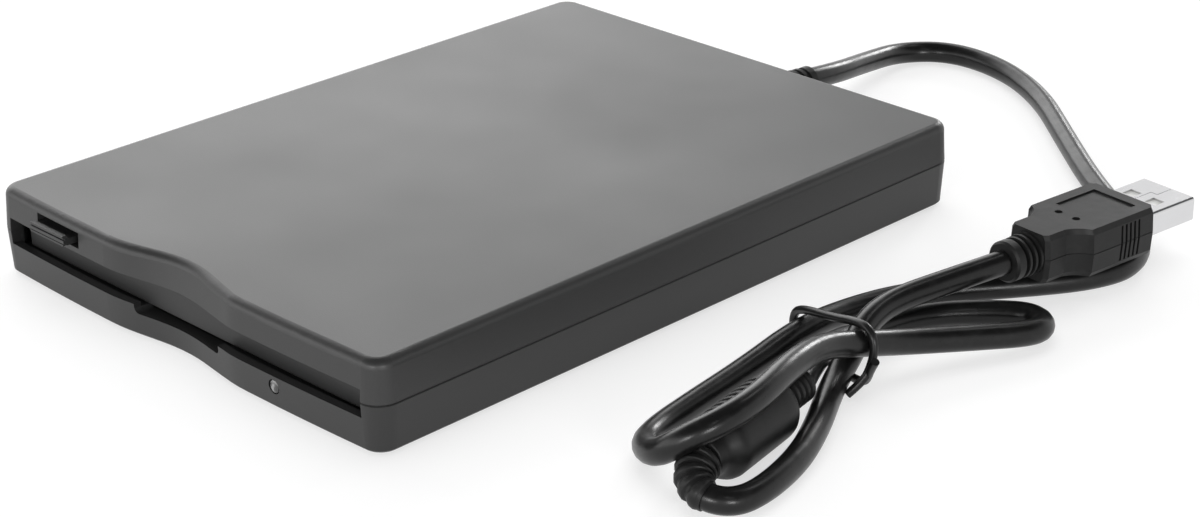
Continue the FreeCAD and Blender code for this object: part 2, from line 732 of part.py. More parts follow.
def activity_led():
    """The light emitting diode behind its lens, with its two leads bent down to the chassis."""
    y = led_back + GAP
    r = led_body_r
    corners = [(0.0, y), (r, y), (r, y + 2.8), (r + 0.3, y + 2.8), (r + 0.3, y + 3.4), (0.0, y + 3.4)]
    body = turned("led_body", corners, "Y", led_x, 0.0, led_z)
    leads = []
    for word, side in SIDES:
        x = led_x + 0.8 * side
        wide = (x - 0.25, x + 0.25)
        leads.append(span("led_lead_" + word, wide, (y + 3.2, y + 5.7), (led_z - 0.25, led_z + 0.25)))
        leads.append(span("led_leg_" + word, wide, (y + 5.2, y + 5.7), (base_z, led_z)))
    return fuse("activity_led", [body] + leads)


def eject_button():
    """A long key with a raised lip and two grooves, on a stem that lies on the slide plate."""
    half_x = s.button_w / 2
    edge = 0.4
    x0, x1 = button_x - half_x, button_x + half_x
    z0, z1 = button_z - s.button_h / 2, button_z + s.button_h / 2
    corners = [(x0 + edge, z0), (x1 - edge, z0), (x1, z0 + edge), (x1, z1 - edge)]
    corners += [(x1 - edge, z1), (x0 + edge, z1), (x0, z1 - edge), (x0, z0 + edge)]
    face = front - s.button_out
    lip = prism("button_lip", "XZ", corners, face, s.button_lip)
    body_y = (face + s.button_lip - BITE, stem_front)
    body = span("button_body", (x0, x1), body_y, (z0 + GAP, z1 - s.button_step))
    stem_z = (slide_top, slide_top + 1.0)
    stem = span("button_stem", (button_x - 3.0, button_x + 3.0), (stem_front - BITE, slide_front), stem_z)
    groove_y = (face - 1.0, face + 0.35)
    grooves = [
        span("button_groove_high", (x0 - 1.0, x1 + 1.0), groove_y, (z1 - 0.7, z1 - 0.4)),
        span("button_groove_low", (x0 - 1.0, x1 + 1.0), (groove_y[0], face + 0.2), (z0 + 0.35, z0 + 0.5)),
    ]
    return cut("eject_button", fuse("button_blank", [lip, body, stem]), grooves)


# ---------------------------------------------------------------- loading mechanism
def drive_chassis():
    """A pressed tray with slots for the carrier pins, spring tabs and a rod bracket."""
    half, inside = chassis_half, chassis_in
    corners = [(-half, s.mech_z), (half, s.mech_z), (half, chassis_top), (inside, chassis_top)]
    corners += [(inside, base_z), (-inside, base_z), (-inside, chassis_top), (-half, chassis_top)]
    tray = prism("chassis_tray", "XZ", corners, chassis_front, chassis_l)
    rear = span("chassis_rear", (-half, half), (chassis_back - s.sheet, chassis_back), (s.mech_z, chassis_top))
    tab_z = slide_top + 0.3
    tab_y = (spring_y - 2.0, spring_y)
    shapes = [tray, rear]
    shapes += both("tab_riser", inside, half, tab_y, (chassis_top - BITE, tab_z + s.sheet))
    shapes += both("tab_shelf", spring_x - 2.0, half, tab_y, (tab_z, tab_z + s.sheet))
    hook_z = (tab_z, spring_z + s.spring_r)
    shapes += both("tab_hook", spring_x - 2.0, spring_x + 2.0, (spring_y - s.sheet, spring_y), hook_z)
    shapes.append(span("rod_bracket", (s.rod_x - 3.0, s.rod_x + 3.0), rod_bracket_y, (s.mech_z, rod_z + 2.5)))
    shapes += posts("board_boss", board_boss_spots, 1.5, (s.mech_z, board_z))
    tools = []
    for name, y in (("front", pin_front_y), ("rear", pin_rear_y)):
        r = s.pin_r + s.slot_play
        tools.append(span("wall_slot_" + name, (-half_w, half_w), (y - r, y + r), (pin_low - r, top)))
    tools.append(rod("rod_seat", s.rod_r, 2.0, s.rod_x, rod_bracket_y[0] - BITE, rod_z, "Y"))
    tools.append(rod("spindle_hole", s.shaft_r + 0.5, 3.0, 0.0, spindle_y, 1.0))
    tools += posts("chassis_thread", chassis_screw_spots, s.screw_shank_r, (0.0, base_z + 1.0))
    tools.append(span("ribbon_notch", ribbon_x, (chassis_back - 2.0, chassis_back + 1.0), (board_top + 0.3, top)))
    light_y = (chassis_front - 1.0, chassis_front + 1.0)
    tools.append(span("light_notch", (led_x - 4.0, led_x + 4.0), light_y, (0.0, base_z + 1.0)))
    return cut("drive_chassis", fuse("chassis_blank", shapes), tools)


def drive_shield():
    """The thin cover over the rear of the mechanism, with clips down the chassis sides."""
    out = chassis_half + PLAY
    plate_z = (shield_under, shield_top)
    shapes = [span("shield_plate", (-out, out), (along(39.3), chassis_back), plate_z)]
    for i, place in enumerate((44.3, 97.3)):
        y = (along(place), along(place) + 8.0)
        shapes += both("shield_clip_%d" % i, out, out + s.shield_t, y, (chassis_top - 2.0, shield_top))
        shapes += both("shield_edge_%d" % i, out - BITE, out + s.shield_t, y, plate_z)
    return fuse("drive_shield", shapes)


def slide_plate():
    """The plate that the button belongs to: its slanted slots carry the carrier down."""
    y0, y1 = slide_front, slide_front + slide_run
    z = (slide_z, slide_top)
    shapes = [span("slide_bar", (-wing_out, wing_out), (y0, y0 + s.slide_bar), z)]
    shapes += both("slide_rail", wing_out - s.slide_rail, wing_out, (y0, y1), z)
    shapes += both("slide_wing", wing_in, wing_out, (y0 + 3.0, y1), (wing_low, slide_top))
    for i, place in enumerate((17.3, 67.3)):
        y = along(place)
        shapes += both("slide_ear_%d" % i, wing_out - BITE, chassis_half - GAP, (y, y + 8.0), z)
    hook_y = (spring_y + s.spring_l, spring_y + s.spring_l + s.sheet)
    shapes += both("slide_hook", spring_x - 2.0, spring_x + 2.0, hook_y, (slide_z, spring_z + s.spring_r))
    shapes.append(span("slide_tongue", (button_x - 4.0, button_x + 4.0), (stem_front + 3.5, y0 + BITE), z))
    r = s.pin_r + s.slot_play
    rise = r * math.sqrt(1 + (s.drop / s.travel) ** 2)
    tools = []
    for name, y in (("front", pin_front_y), ("rear", pin_rear_y)):
        end = y + s.travel
        corners = [(y, pin_z - rise), (end, pin_low - rise), (end, pin_low + rise), (y, pin_z + rise)]
        tools.append(prism("slant_" + name, "YZ", corners, -half_w, s.case_w))
        tools.append(rod("slant_top_" + name, r, s.case_w, -half_w, y, pin_z, "X"))
        tools.append(rod("slant_low_" + name, r, s.case_w, -half_w, end, pin_low, "X"))
    return cut("slide_plate", fuse("slide_blank", shapes), tools)


def disk_carrier():
    """The folded sheet bay that holds the disk and drops it onto the spindle."""
    out, inside = carrier_half, carrier_in
    rail = inside - s.rail_w
    low = s.bay_z - s.sheet
    corners = [(-out, low), (-rail, low), (-rail, s.bay_z), (-inside, s.bay_z), (-inside, carrier_top)]
    corners += [(inside, carrier_top), (inside, s.bay_z), (rail, s.bay_z), (rail, low), (out, low)]
    corners += [(out, carrier_upper), (-out, carrier_upper)]
    channel = prism("carrier_channel", "XZ", corners, carrier_front, carrier_run)
    shapes = [channel]
    stop_y = (carrier_back - s.sheet, carrier_back)
    shapes += both("disk_stop", half_w - 23.5, half_w - 13.5, stop_y, (s.bay_z + 1.2, carrier_upper))
    for name, y in (("front", pin_front_y), ("rear", pin_rear_y)):
        for word, side in SIDES:
            start = carrier_in if side > 0 else -pin_tip
            shapes.append(rod("pin_%s_%s" % (name, word), s.pin_r, pin_tip - carrier_in, start, y, pin_z, "X"))
    pin_l = lever_z + s.lever_t + PLAY - carrier_top
    shapes.append(rod("lever_pin", lever_bore - PLAY, pin_l, lever_x, lever_y, carrier_top))
    window_y = (head_y - s.seek - 5.0, carrier_back + 1.0)
    tools = [span("head_window", (-13.0, 13.0), window_y, (carrier_top - 1.0, carrier_upper + 1.0))]
    tools.append(lever_slot())
    return cut("disk_carrier", fuse("carrier_blank", shapes), tools)


def lever_slot():
    """The arc in the carrier's top that the lever's peg runs along."""
    sector = []
    for word, r in (("outer", s.lever_l + peg_r + 0.3), ("inner", s.lever_l - peg_r - 0.3)):
        disc = rod("lever_arc_" + word, r, 3.0, lever_x, lever_y, carrier_top - 1.0)
        disc.Angle = LEVER_SWING + 8.0
        disc.Placement = Placement(Vector(), Rotation(Vector(0, 0, 1), LEVER_REST - LEVER_SWING - 4.0))
        sector.append(move(disc, lever_x, lever_y, carrier_top - 1.0))
    return cut("lever_arc", sector[0], sector[1:])


def slide_springs():
    """The outer form of the two coil springs that pull the slide plate forward."""
    return group("slide_springs", [
        rod("slide_spring_" + word, s.spring_r, s.spring_l, spring_x * side, spring_y, spring_z, "Y")
        for word, side in SIDES
    ])


def shutter_lever():
    """The arm that opens the disk's shutter, drawn along +X and turned to its rest angle."""
    corners = [(0.0, -3.0), (s.lever_l, -1.6), (s.lever_l, 1.6), (0.0, 3.0)]
    arm = prism("lever_arm", "XY", corners, 0.0, s.lever_t)
    hub = rod("lever_hub", 3.0, s.lever_t, 0.0, 0.0, 0.0)
    end = rod("lever_end", 1.6, s.lever_t, s.lever_l, 0.0, 0.0)
    peg_low = carrier_top + PLAY - lever_z
    peg = rod("lever_peg", peg_r, s.lever_t - peg_low, s.lever_l, 0.0, peg_low)
    hole = rod("lever_hole", lever_bore, 3.0, 0.0, 0.0, -1.0)
    lever = cut("shutter_lever", fuse("lever_blank", [arm, hub, end, peg]), [hole])
    lever.Placement = Placement(Vector(), Rotation(Vector(0, 0, 1), LEVER_REST))
    return move(lever, lever_x, lever_y, lever_z)


# ---------------------------------------------------------------- spindle
def spindle_rotor():
    bore = s.shaft_r + 0.02
    rim = s.rotor_r - 1.2
    hub_top = rotor_top + s.hub_h
    corners = [(bore, rotor_low), (rim, rotor_low), (rim, rotor_low - 0.5), (s.rotor_r, rotor_low - 0.5)]
    corners += [(s.rotor_r, rotor_top), (s.hub_r, rotor_top), (s.hub_r, hub_top - 0.4)]
    corners += [(s.hub_r - 0.4, hub_top), (bore, hub_top)]
    disc = turned("rotor_disc", corners, "Z", 0.0, spindle_y)
    pin = rod("drive_pin", 1.0, 0.9, 0.6 * s.hub_r, spindle_y, hub_top - BITE)
    return fuse("spindle_rotor", [disc, pin])


def spindle_shaft():
    low, tip = s.mech_z + PLAY, s.bay_z - PLAY
    corners = [(0.0, low), (s.shaft_r, low), (s.shaft_r, tip - 0.5), (s.shaft_r - 0.5, tip), (0.0, tip)]
    return turned("spindle_shaft", corners, "Z", 0.0, spindle_y)


def spindle_stator():
    """The motor's board, its ring of coils and the bearing boss."""
    plate_top = base_z + 0.3
    shapes = [rod("stator_board", s.rotor_r - 1.5, plate_top - base_z, 0.0, spindle_y, base_z)]
    tail_y = (spindle_y - s.rotor_r - 4.0, spindle_y)
    shapes.append(span("stator_tail", (-9.0, 9.0), tail_y, (base_z, plate_top)))
    shapes.append(rod("bearing", s.shaft_r + 1.7, rotor_low - PLAY - base_z, 0.0, spindle_y, base_z))
    coils = 9
    for i in range(coils):
        angle = 2 * math.pi * i / coils
        x = 0.7 * s.rotor_r * math.cos(angle)
        y = spindle_y + 0.7 * s.rotor_r * math.sin(angle)
        shapes.append(rod("coil_%d" % i, 2.2, coil_top - plate_top + PLAY, x, y, plate_top - PLAY))
    bore = rod("bearing_bore", s.shaft_r + PLAY, 4.0, 0.0, spindle_y, base_z - 1.0)
    return cut("spindle_stator", fuse("stator_blank", shapes), [bore])


# ---------------------------------------------------------------- heads
def head_carriage():
    """The arm and the block that run along the guide rod and the lead screw."""
    y0, y1 = block_y, block_back
    left, right = s.rod_x - 4.0, 10.0
    nose = head_y - 2.7
    corners = [(-6.0, nose), (6.0, nose), (8.0, y0 + BITE), (-8.0, y0 + BITE)]
    arm = prism("carriage_arm", "XY", corners, s.arm_z, arm_t)
    block = span("carriage_block", (left, right), (y0, y1), (s.arm_z, block_top))
    ear_y = (pivot_y - 1.6, y1)
    ears = both("arm_ear", 5.1, 7.0, ear_y, (block_top - BITE, pivot_z + 1.2))
    axle = rod("arm_axle", axle_r, 13.0, -6.5, pivot_y, pivot_z, "X")
    reach = s.screw_x - s.screw_r - 2 * GAP
    follower_z = (screw_z - 0.8, screw_z + 0.8)
    follower = span("follower", (right - BITE, reach), (y0, y0 + 1.6), follower_z)
    bore = rod("rod_bore", s.rod_r + PLAY, s.block_l + 2.0, s.rod_x, y0 - 1.0, rod_z, "Y")
    pocket = span("block_pocket", (-9.0, 7.0), (y0 + 2.0, pivot_y - 2.5), (s.arm_z + 2.0, block_top + 1.0))
    return cut("head_carriage", fuse("carriage_blank", [arm, block, follower, axle] + ears), [bore, pocket])


def lower_head():
    seat = s.arm_z + arm_t
    low = lower_tip - s.head_h
    plate = span("lower_gimbal", (-3.0, 3.0), (head_y - 2.5, head_y + 3.0), (seat, low + PLAY))
    slider = span("lower_slider", (-1.6, 1.6), (head_y - 1.6, head_y + 1.6), (low, lower_tip))
    return fuse("lower_head", [plate, slider])


def upper_head_arm():
    nose = head_y - 2.5
    corners = [(-3.2, nose), (3.2, nose), (5.0, pivot_y), (-5.0, pivot_y)]
    plate = prism("upper_plate", "XY", corners, upper_arm_z, arm_t)
    knuckle = rod("arm_knuckle", 1.3, 10.0, -5.0, pivot_y, pivot_z, "X")
    rib_z = (upper_arm_z + arm_t - PLAY, upper_arm_z + arm_t + 0.7)
    rib = span("arm_rib", (-1.0, 1.0), (head_y + 5.0, pivot_y - 4.0), rib_z)
    bore = rod("knuckle_bore", axle_r + PLAY, 12.0, -6.0, pivot_y, pivot_z, "X")
    return cut("upper_head_arm", fuse("upper_arm_blank", [plate, knuckle, rib]), [bore])


def upper_head():
    return span("upper_head", (-1.6, 1.6), (head_y - 1.6, head_y + 1.6), (upper_tip, upper_arm_z))


def stepper_motor():
    r = motor_r
    y0, y1 = motor_y, motor_y + s.motor_l
    corners = [(0.0, y0), (r, y0), (r, y1 - 0.4), (r - 0.4, y1), (0.0, y1)]
    can = turned("motor_can", corners, "Y", s.screw_x, 0.0, screw_z)
    x = (s.screw_x - r, s.screw_x + r)
    plate = span("motor_plate", x, (y0 - 0.8, y0 + PLAY), (base_z, screw_z + 3.0))
    foot = span("motor_foot", x, (y0 - 4.0, y0), (base_z, base_z + s.sheet))
    bore = rod("motor_bore", screw_neck_r + PLAY, 4.0, s.screw_x, y0 - 1.0, screw_z, "Y")
    return cut("stepper_motor", fuse("motor_blank", [can, plate, foot]), [bore])


def lead_screw():
    n, r = screw_neck_r, s.screw_r
    y0 = screw_bearing_y[0] + GAP
    y1 = screw_bearing_y[1] + GAP
    y2 = motor_y - 1.0
    y3 = motor_y + 2.0
    corners = [(0.0, y0), (n, y0), (n, y1), (r, y1), (r, y2), (n, y2), (n, y3), (0.0, y3)]
    return turned("lead_screw", corners, "Y", s.screw_x, 0.0, screw_z)


def screw_bearing():
    block = span("bearing_block", (s.screw_x - 2.5, s.screw_x + 2.5), screw_bearing_y, (base_z, screw_z + 2.4))
    bore = rod("screw_bore", screw_neck_r + PLAY, 4.0, s.screw_x, screw_bearing_y[0] - 1.0, screw_z, "Y")
    return cut("screw_bearing", block, [bore])


def guide_rod():
    return rod("guide_rod", s.rod_r, chassis_back - s.sheet - rod_bracket_y[0], s.rod_x, rod_bracket_y[0], rod_z, "Y")


# ---------------------------------------------------------------- electronics
def controller_board():
    (x0, x1), (y0, y1) = board_x, board_y
    corners = [(x0, y0), (x1, y0), (x1, y1 - 8.0), (x1 - 4.0, y1 - 8.0), (x1 - 4.0, y1), (x0, y1)]
    return prism("controller_board", "XY", corners, board_z, s.board_t)


def board_chips():
    z = board_top
    x0, y0 = board_x[0], board_y[0]
    chip = span("board_chip", (x0 + 0.2 * board_w, x0 + 0.6 * board_w), (y0 + 4.0, y0 + 14.0), (z, z + 1.3))
    driver = span("board_driver", (x0 + 0.7 * board_w, x0 + 0.9 * board_w), (y0 + 4.0, y0 + 11.0), (z, z + 1.4))
    socket_x = (ribbon_x[0] + 0.5, ribbon_x[1] - 0.5)
    socket = span("board_socket", socket_x, (ribbon_y[0] - 3.0, ribbon_y[0]), (z, z + 1.6))
    return group("board_chips", [chip, driver, socket])


def sensor_switches():
    made = []
    for i, (x, y) in enumerate(switch_spots):
        body = span("switch_body_%d" % i, (x - 2.3, x + 2.3), (y - 3.0, y + 3.0), (base_z, base_z + 2.1))
        plunger = rod("switch_plunger_%d" % i, 0.6, s.bay_z - 2 * GAP - base_z, x, y, base_z)
        made.append(fuse("switch_%d" % i, [body, plunger]))
    return group("sensor_switches", made)


def usb_board():
    x0, x1 = -usb_board_half, usb_board_half
    y0, y1 = usb_board_y
    corners = [(x0, y0), (x1, y0), (x1, y1 - 2.0), (x1 - 2.0, y1), (x0 + 2.0, y1), (x0, y1 - 2.0)]
    return prism("usb_board", "XY", corners, usb_board_z, s.board_t)


def usb_chips():
    z = usb_board_top
    y0 = usb_board_y[0]
    x1 = usb_board_half
    bridge = span("usb_bridge", (x1 - 23.0, x1 - 16.0), (y0 + 0.6, y0 + 6.6), (z, z + 1.4))
    crystal = span("usb_crystal", (x1 - 13.0, x1 - 9.0), (y0 + 2.0, y0 + 6.0), (z, z + 3.0))
    socket_x = (ribbon_x[0] + 0.5, ribbon_x[1] - 0.5)
    socket = span("usb_socket", socket_x, (ribbon_y[1], ribbon_y[1] + 2.6), (z, z + 1.6))
    header = span("usb_header", (s.cord_x - 4.5, s.cord_x + 4.5), (lead_y - 2.5, lead_y), (z, parting + 1.2))
    return group("usb_chips", [bridge, crystal, socket, header])


def ribbon_cable():
    """A flat cable that arches over the rear edge of the chassis."""
    y0, y1 = ribbon_y
    t = 0.25
    za, zb = board_top + 0.7, usb_board_top + 0.7
    corners = [(y0, za), (y0 + 1.3, za + 0.7), (y1 - 1.4, za + 0.9), (y1, zb), (y1, zb + t)]
    corners += [(y1 - 1.3, za + 0.9 + t), (y0 + 1.2, za + 0.7 + t), (y0, za + t)]
    return prism("ribbon_cable", "YZ", corners, ribbon_x[0] + 1.0, ribbon_x[1] - ribbon_x[0] - 2.0)


def cord_leads():
    """The four wires from the cord's inner end to their header."""
    wires = []
    for i in range(4):
        x = s.cord_x + 1.1 * (i - 1.5)
        wires.append(rod("lead_%d" % i, 0.4, gland_inner - lead_y, x, lead_y, parting, "Y"))
    return group("cord_leads", wires)


# ---------------------------------------------------------------- cord
def unit(vector):
    return Vector(vector).normalize()


def route_path(points, name):
    """Straight runs joined by tangent arcs, as large as the runs beside them allow."""
    edges = []
    radii = []
    here = points[0]
    for i in range(1, len(points) - 1):
        before, corner, after = points[i - 1], points[i], points[i + 1]
        into, out = corner - before, after - corner
        turn = into.getAngle(out)
        setback = 0.45 * min(into.Length, out.Length)
        radius = setback / math.tan(turn / 2)
        begin = corner - unit(into) * setback
        end = corner + unit(out) * setback
        inward = unit(unit(out) - unit(into))
        middle = corner + inward * (radius / math.cos(turn / 2) - radius)
        edges.append(Part.LineSegment(here, begin).toShape())
        edges.append(Part.Arc(begin, middle, end).toShape())
        radii.append(radius)
        here = end
    edges.append(Part.LineSegment(here, points[-1]).toShape())
    print(name, "radii:", " ".join("%.1f" % radius for radius in radii))
    return Part.Wire(edges)


def tube(name, points, r):
    """A round tube along a route, with its volume compared with section times length."""
    path = route_path(points, name)
    section = Part.Wire(Part.makeCircle(float(r), points[0], points[1] - points[0]))
    shape = path.makePipeShell([section], True, False)
    expected = math.pi * float(r) ** 2 * path.Length
    print(name, "length %.1f mm, volume %.1f of %.1f" % (path.Length, shape.Volume, expected))
    return given(name, shape)


def strain_relief():
    """The moulded sleeve at the back, held by its flange between the two covers."""
    start = s.case_back + PLAY
    slim = s.cord_r + 0.55
    ribs = 6
    pitch = (s.gland_l - 2.0) / ribs
    corners = [(0.0, gland_inner), (gland_flange, gland_inner), (gland_flange, flange_back), (neck_r, flange_back)]
    corners += [(neck_r, start), (s.gland_r, start), (s.gland_r, start + 1.2)]
    for i in range(ribs):
        y = start + 1.2 + i * pitch
        r = s.gland_r - (s.gland_r - slim) * (i / ribs)
        after = s.gland_r - (s.gland_r - slim) * ((i + 1) / ribs)
        corners += [(r - 0.45, y + 0.2), (r - 0.5, y + 0.45 * pitch), (after, y + 0.45 * pitch + 0.2), (after, y + pitch)]
    corners += [(slim, gland_end), (0.0, gland_end)]
    return turned("strain_relief", corners, "Y", s.cord_x, 0.0, parting)


def ferrite_choke():
    """A moulded barrel with a relief at each end, drawn along +Y and laid on its axis."""
    r = s.choke_r
    l = s.choke_l
    slim = s.cord_r + 0.8
    corners = [(0.0, 0.0), (slim - 0.3, 0.0), (slim, 0.4)]
    for i in range(4):
        y = 1.2 + 1.5 * i
        corners += [(slim, y), (slim - 0.4, y + 0.15), (slim - 0.4, y + 0.7), (slim, y + 0.85)]
    corners += [(slim + 0.2, 7.2), (0.84 * r, 8.6), (0.96 * r, 9.6), (r, 10.8), (r, l - 5.6), (0.95 * r, l - 4.4)]
    corners += [(0.8 * r, l - 3.2), (0.6 * r, l - 2.3), (slim, l - 1.8), (slim, l), (0.0, l)]
    barrel = turned("choke_barrel", corners, "Y")
    rings = [rod("choke_ring_%d" % i, r + 1.0, 1.0, 0.0, 11.4 + 2.6 * i, 0.0, "Y") for i in range(5)]
    core = rod("choke_ring_core", r - 0.35, l, 0.0, 0.0, 0.0, "Y")
    grooves = common("choke_grooves", cut("choke_rings", fuse("choke_discs", rings), [core]), span("choke_far_side", (0.0, 2 * r), (0.0, l), (0.5, 2 * r)))
    choke = cut("ferrite_choke", barrel, [grooves])
    choke.Placement = Placement(choke_start, Rotation(Vector(0, 1, 0), choke_axis))
    return choke


# ---------------------------------------------------------------- USB-A plug
def grip_outline(inset, z):
    """The grip's plan: a narrow neck, a hollow shoulder, then straight sides."""
    neck = float(s.grip_neck / 2 - inset)
    wide = float(s.grip_w / 2 - inset)
    back = float(s.plug_relief)
    tip = float(s.plug_relief + s.grip_l)
    shoulder = back + 4.5
    spots = [
        (neck - 0.7, back),
        (neck, back + 0.7),
        (neck, shoulder),
        (neck + 0.3 * (wide - neck), shoulder + 2.0),
        (wide, shoulder + 3.7),
        (wide, tip - 0.8),
        (wide - 0.8, tip),
    ]
    right = [Vector(x, y, z) for x, y in spots]
    left = [Vector(-x, y, z) for x, y in spots]

    def line(a, b):
        return Part.LineSegment(a, b).toShape()

    edges = [
        line(left[0], right[0]),
        line(right[0], right[1]),
        line(right[1], right[2]),
        Part.Arc(right[2], right[3], right[4]).toShape(),
        line(right[4], right[5]),
        line(right[5], right[6]),
        line(right[6], left[6]),
        line(left[6], left[5]),
        line(left[5], left[4]),
        Part.Arc(left[4], left[3], left[2]).toShape(),
        line(left[2], left[1]),
        line(left[1], left[0]),
    ]
    return Part.Wire(edges)


def grip_blank():
    half = s.grip_t / 2
    round_r = 0.9
    draft = 0.25
    levels = [(-half, draft + round_r * 0.6), (round_r - half, draft), (0.0, 0.0), (half - round_r, draft), (half, draft + round_r * 0.6)]
    return Part.makeLoft([grip_outline(inset, float(z)) for z, inset in levels], True, True)


def grip_parting():
    """The thin groove round the grip where the two halves of its mould met."""
    depth, half = 0.15, 0.08
    core = Part.makeLoft([grip_outline(depth, -half), grip_outline(depth, half)], True, True)
    slab = Part.makeBox(40.0, float(s.grip_l), 2 * half, Vector(-20.0, float(s.plug_relief), -half))
    return given("grip_parting", slab.cut(core))


def at_plug(obj):
    obj.Placement = Placement(plug_entry, Rotation(Vector(0, 0, 1), -PLUG_TURN))
    return obj


def plug_body():
    """The moulded grip with its ringed relief, grip ribs and sunk panel."""
    slim = s.cord_r + 0.7
    collar = slim + 0.8
    corners = [(0.0, 0.0), (collar - 0.4, 0.0), (collar, 0.4), (collar, 1.9)]
    rings = 3
    pitch = (s.plug_relief - 2.2) / rings
    for i in range(rings):
        y = 2.2 + i * pitch
        r = collar + 0.1 * i
        corners += [(slim, y), (slim, y + 0.4 * pitch), (r, y + 0.5 * pitch), (r, y + 0.9 * pitch)]
    corners += [(slim, s.plug_relief), (slim, s.plug_relief + 1.0), (0.0, s.plug_relief + 1.0)]
    relief = turned("plug_relief", corners, "Y")
    high = s.grip_t / 2
    half = s.grip_w / 2
    tip = plug_tip
    tools = [span("plug_panel", (-4.75, 4.75), (tip - 12.3, tip - 2.3), (high - 0.3, high + 1.0)), grip_parting()]
    pocket_y, pocket_z = (tip - s.shell_seat, tip + 1.0), (-s.shell_h / 2, s.shell_h / 2)
    tools.append(span("plug_pocket", (-s.shell_w / 2, s.shell_w / 2), pocket_y, pocket_z))
    for word, side in SIDES:
        tools.append(rod("plug_dimple_" + word, 0.7, 2.0, 2.0 * side, tip - 14.6, high - 0.35))
    for i in range(5):
        y = tip - 9.1 + 1.1 * i
        tools += both("grip_groove_%d" % i, half - 0.5, half + 1.0, (y, y + 0.5), (-3.3, 3.3))
    blank = fuse("plug_blank", [given("grip", grip_blank()), relief])
    return at_plug(cut("plug_body", blank, tools))


def shell_tube(name, inset, edge, y):
    """A bar with round long edges, for the outside or the inside of the shell."""
    half, high = float(s.shell_w / 2 - inset), float(s.shell_h / 2 - inset)
    bar = Part.makeBox(2 * half, float(y[1] - y[0]), 2 * high, Vector(-half, float(y[0]), -high))
    long_edges = [item for item in bar.Edges if item.BoundBox.YLength > 1.0]
    return given(name, bar.makeFillet(edge, long_edges))


def plug_shell():
    """The folded steel shell with its four latch windows and the seam of its fold."""
    high = s.shell_h / 2
    tip = plug_tip
    end = tip + s.shell_out
    outer = shell_tube("shell_outer", 0.0, 0.6, (tip - s.shell_seat, end))
    tools = [shell_tube("shell_inner", s.shell_t, 0.3, (tip - s.shell_seat - 1.0, end + 1.0))]
    window = 2.5
    y = (tip + 5.5 - window / 2, tip + 5.5 + window / 2)
    for word, side in SIDES:
        x = 2.56 * side
        tools.append(span("shell_window_" + word, (x - window / 2, x + window / 2), y, (-high - 1.0, high + 1.0)))
    seam_x, jog, bend = -0.7, 1.45, tip + 8.4
    seam_z = (high - 0.15, high + 1.0)
    tools.append(span("shell_seam_near", (seam_x, seam_x + 0.15), (tip - 1.0, bend), seam_z))
    tools.append(span("shell_seam_jog", (seam_x, seam_x + jog + 0.15), (bend - 0.15, bend), seam_z))
    tools.append(span("shell_seam_far", (seam_x + jog, seam_x + jog + 0.15), (bend - 0.15, end + 1.0), seam_z))
    return at_plug(cut("plug_shell", outer, tools))


def plug_tongue():
    half = s.shell_w / 2 - s.shell_t - 0.2
    y = (plug_tip - s.shell_seat, plug_tip + s.shell_out - 0.3)
    plate = span("tongue_plate", (-half, half), y, (tongue_low, tongue_top))
    return at_plug(group("plug_tongue", [plate]))


def plug_contacts():
    y = (plug_tip, plug_tip + s.shell_out - 2.0)
    strips = []
    for i, x in enumerate((-3.5, -1.0, 1.0, 3.5)):
        strips.append(span("contact_%d" % i, (x - 0.5, x + 0.5), y, (tongue_low - 0.15, tongue_low)))
    return at_plug(group("plug_contacts", strips))


# ---------------------------------------------------------------- cord route
choke_start = Vector(87.2, -12.3, 5.5)
choke_axis = unit(Vector(5.8, -29.0, 0.0))
choke_end = choke_start + choke_axis * float(s.choke_l)

# From the strain relief round the back, out and back along the right side, through the tie.
TAIL = [
    Vector(s.cord_x, gland_end, parting),
    Vector(4.3, 93.2, 8.0),
    Vector(-1.2, 109.2, 4.6),
    Vector(-4.0, 124.2, 2.3),
    Vector(4.0, 132.2, 2.3),
    Vector(18.5, 131.2, 2.3),
    Vector(34.0, 123.2, 2.3),
    Vector(51.0, 108.2, 2.3),
    Vector(66.5, 94.7, 2.3),
    Vector(80.0, 84.7, 2.3),
    Vector(91.0, 76.2, 2.3),
    Vector(95.0, 66.7, 2.3),
    Vector(93.0, 58.2, 2.3),
    Vector(87.0, 48.7, 2.3),
    Vector(79.5, 38.7, 2.3),
    Vector(73.7, 29.2, 2.3),
    Vector(71.3, 18.7, 2.6),
    Vector(72.2, 4.7, 4.0),
    Vector(73.7, -10.3, 2.5),
    Vector(75.5, -24.3, 2.3),
    Vector(77.2, -34.8, 2.3),
    Vector(80.7, -41.6, 3.4),
    Vector(87.5, -45.8, 6.0),
    Vector(92.5, -44.8, 10.0),
    Vector(95.5, -39.8, 12.2),
    Vector(95.2, -31.3, 13.0),
    Vector(91.6, -20.3, 13.0),
    Vector(87.6, -8.3, 10.9),
    Vector(88.3, 0.2, 8.5),
    Vector(90.0, 10.4, 5.8),
    Vector(95.2, 22.1, 4.2),
    Vector(100.2, 31.7, 3.3),
    Vector(98.8, 36.7, 2.7),
    Vector(94.3, 38.8, 2.3),
    Vector(89.6, 35.5, 2.3),
    Vector(83.3, 29.2, 2.3),
    Vector(79.8, 21.7, 2.3),
    Vector(79.2, 13.2, 2.6),
    Vector(79.2, 4.2, 4.0),
    Vector(82.2, -4.5, 4.0),
    choke_start,
]

# From the choke back through the tie and up to the plug.
END = [
    choke_end,
    Vector(93.6, -44.7, 4.4),
    Vector(97.8, -46.5, 2.9),
    Vector(101.9, -43.3, 2.3),
    Vector(101.9, -36.3, 2.3),
    Vector(99.3, -26.3, 2.3),
    Vector(94.6, -16.8, 2.3),
    Vector(89.5, -8.3, 2.3),
    Vector(86.3, -2.3, 2.6),
    Vector(84.9, 2.6, 4.6),
    Vector(82.1, 9.8, 7.0),
    Vector(81.2, 17.8, 7.8),
    Vector(83.7, 28.4, 8.4),
    plug_entry,
]


